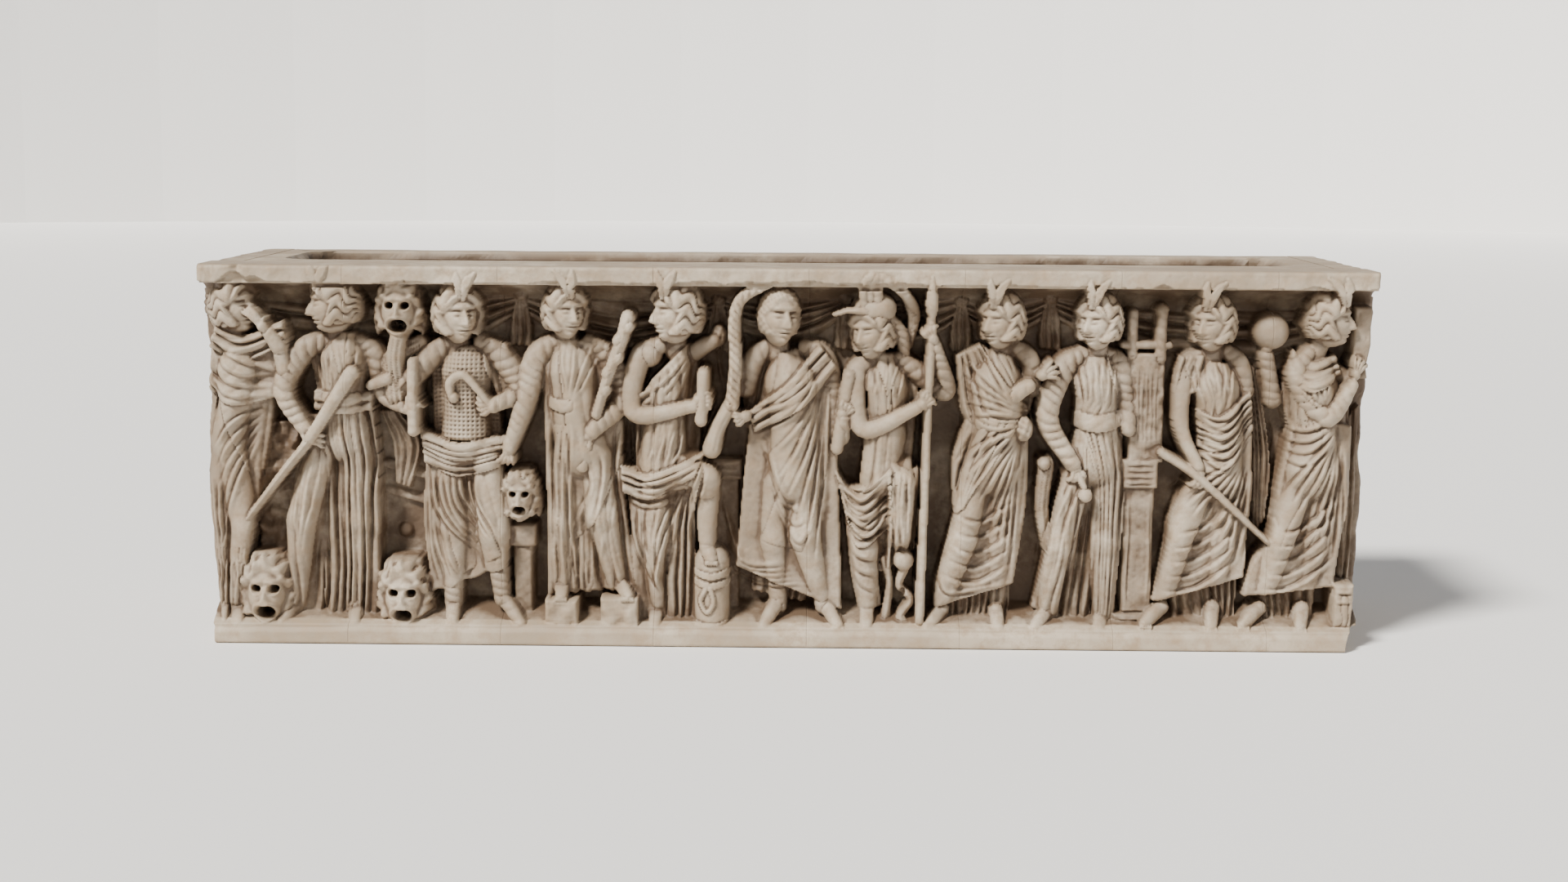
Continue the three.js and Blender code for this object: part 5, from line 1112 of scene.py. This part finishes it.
# The two ends: plainer work than the front, a hanging of cloth drawn up under the rim in one
# swag with a tail falling at its front, between the same rim and ledge.
DEPTH_CELLS, HEIGHT_CELLS = 112, 180
END_FACE = 1.029
CLOTH_FACE = 1.030
RIM_REACH, RIM_START = 1.055, 0.656
LEDGE_REACH = 1.039
SWAG_FRONT, SWAG_LENGTH = -0.10, 0.32
LEAST_REACH, MOST_REACH = 1.012, 1.0745
ARRIS = 0.006
y_line = np.linspace(PANEL_BACK, BACK_Y, DEPTH_CELLS)
z_line = np.linspace(0.0, TOP_Z, HEIGHT_CELLS)
YY, ZZ = np.meshgrid(y_line, z_line)
for sign, name in ((-1, "left_end"), (1, "right_end")):
    out = np.full(YY.shape, END_FACE)
    out += 0.0014 * cloud(out.shape, 1) + 0.002 * cloud(out.shape, 8)
    under_rim = np.clip((ZZ - 0.600) / 0.056, 0, 1)
    out = np.maximum(out, END_FACE + 0.024 * (1 - np.sqrt(1 - under_rim**2)))
    share = (YY - SWAG_FRONT) / SWAG_LENGTH
    bow = 4 * share * (1 - share)
    for step in range(3):
        low = 0.566 - (0.045 + 0.032 * step) * bow
        gap = (ZZ - low) / 0.015
        roll = CLOTH_FACE + 0.018 * np.sqrt(np.clip(1 - gap**2, 0, None)) * (1 - 0.16 * step)
        out = np.where((np.abs(gap) < 1) & (share > 0) & (share < 1), np.maximum(out, roll), out)
    for centre, wide, foot_z, stand in ((-0.105, 0.044, 0.150, 0.024), (0.215, 0.030, 0.330, 0.016)):
        gap = (YY - centre) / (wide * (0.62 + 0.55 * (0.57 - ZZ) / 0.42))
        hang = CLOTH_FACE + stand * np.sqrt(np.clip(1 - gap**2, 0, None))
        hang += 0.005 * np.cos(gap * 11 + 0.8 * np.sin(9 * ZZ))
        bottom = foot_z + 0.012 * np.abs(np.sin(6 * gap))
        out = np.where((np.abs(gap) < 1) & (ZZ > bottom) & (ZZ < 0.585), np.maximum(out, hang), out)
    out = np.where(ZZ > RIM_START, RIM_REACH + 0.0012 * cloud(out.shape, 3), out)
    out = np.where(ZZ < LEDGE_Z, LEDGE_REACH + 0.0012 * cloud(out.shape, 3), out)
    if sign > 0:
        out -= 0.022 * smooth((-0.085 - YY) / 0.05) * smooth((0.055 - ZZ) / 0.045)
    edges = ARRIS * (np.clip(1 - (TOP_Z - ZZ) / ARRIS, 0, 1) ** 2 + np.clip(1 - ZZ / ARRIS, 0, 1) ** 2)
    edges += ARRIS * np.clip(1 - (BACK_Y - YY) / ARRIS, 0, 1) ** 2
    out = np.clip(out - edges, LEAST_REACH, MOST_REACH)
    # Painted shade and soil on the end faces: darker in their hollows, below the mean round them.
    dark = np.clip((blur(out, 7) - out) / 0.016, 0, 1) + 0.12
    order = slice(None) if sign > 0 else slice(None, None, -1)
    belongs(grid_block(name, (sign * out)[:, order], YY[:, order], ZZ[:, order], 0, sign * BODY_HALF,
                       dark[:, order]))


# The pale studio floor with a round pale wall far off, the soft light from the upper left, and the
# camera at the photo's place: a little above the rim, square on, with the whole chest in view.
STAGE_SIDE, STAGE_Z = 40, -0.0005
FAR_WALL_RADIUS, FAR_WALL_HEIGHT, FAR_WALL_Z = 19.9, 7, 3.4
PALE_GREY = (0.86, 0.85, 0.83, 1)
SKY_COLOUR, SKY_STRENGTH = (0.90, 0.93, 1.0, 1), 0.27
KEY_STRENGTH, KEY_TILT, KEY_TURN = 7.0, 43, -40
FILL_WATTS, FILL_TILT, FILL_TURN = 9, 78, 32
YAW, PITCH, ROLL = -0.01081, 0.13163, 0.0067
CAMERA_AT = (0.04198, -4.4439, 0.93187)
LENS_MM, SENSOR_MM = 53.71, 36
bpy.ops.mesh.primitive_plane_add(size=STAGE_SIDE, location=(0, 0, STAGE_Z))
floor = bpy.context.object
floor.name = "floor"
pale = bpy.data.materials.new("pale_floor")
pale.use_nodes = True
pale.node_tree.nodes["Principled BSDF"].inputs["Base Color"].default_value = PALE_GREY
pale.node_tree.nodes["Principled BSDF"].inputs["Roughness"].default_value = 0.9
floor.data.materials.append(pale)
floor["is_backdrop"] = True
bpy.ops.mesh.primitive_cylinder_add(vertices=96, radius=FAR_WALL_RADIUS, depth=FAR_WALL_HEIGHT,
                                    end_fill_type="NOTHING", location=(0, 0, FAR_WALL_Z))
backdrop = bpy.context.object
backdrop.name = "backdrop"
backdrop.data.materials.append(pale)
backdrop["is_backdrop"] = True
world = bpy.data.worlds.new("studio")
bpy.context.scene.world = world
world.use_nodes = True
world.node_tree.nodes["Background"].inputs["Color"].default_value = SKY_COLOUR
world.node_tree.nodes["Background"].inputs["Strength"].default_value = SKY_STRENGTH
sun = bpy.data.lights.new("key", "SUN")
sun.energy = KEY_STRENGTH
sun.angle = 0.22
sun.color = (1.0, 0.97, 0.92)
key = bpy.data.objects.new("key", sun)
bpy.context.scene.collection.objects.link(key)
key.rotation_euler = (math.radians(KEY_TILT), 0, math.radians(KEY_TURN))
soft = bpy.data.lights.new("fill", "AREA")
soft.size = 2.4
soft.energy = FILL_WATTS
fill = bpy.data.objects.new("fill", soft)
bpy.context.scene.collection.objects.link(fill)
fill.location = (2.2, -3.4, 1.2)
fill.rotation_euler = (math.radians(FILL_TILT), 0, math.radians(FILL_TURN))
look = np.array([math.sin(YAW) * math.cos(PITCH), math.cos(YAW) * math.cos(PITCH), -math.sin(PITCH)])
right = np.array([math.cos(YAW), -math.sin(YAW), 0])
above = np.cross(right, look)
rolled_right = right * math.cos(ROLL) + above * math.sin(ROLL)
rolled_above = above * math.cos(ROLL) - right * math.sin(ROLL)
lens = bpy.data.cameras.new("photo")
lens.lens = LENS_MM
lens.sensor_width = SENSOR_MM
camera = bpy.data.objects.new("photo", lens)
bpy.context.scene.collection.objects.link(camera)
camera.location = CAMERA_AT
turned = np.column_stack([rolled_right, rolled_above, -look])
camera.rotation_euler = Matrix(turned.tolist()).to_euler()
bpy.context.scene.camera = camera

low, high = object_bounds()
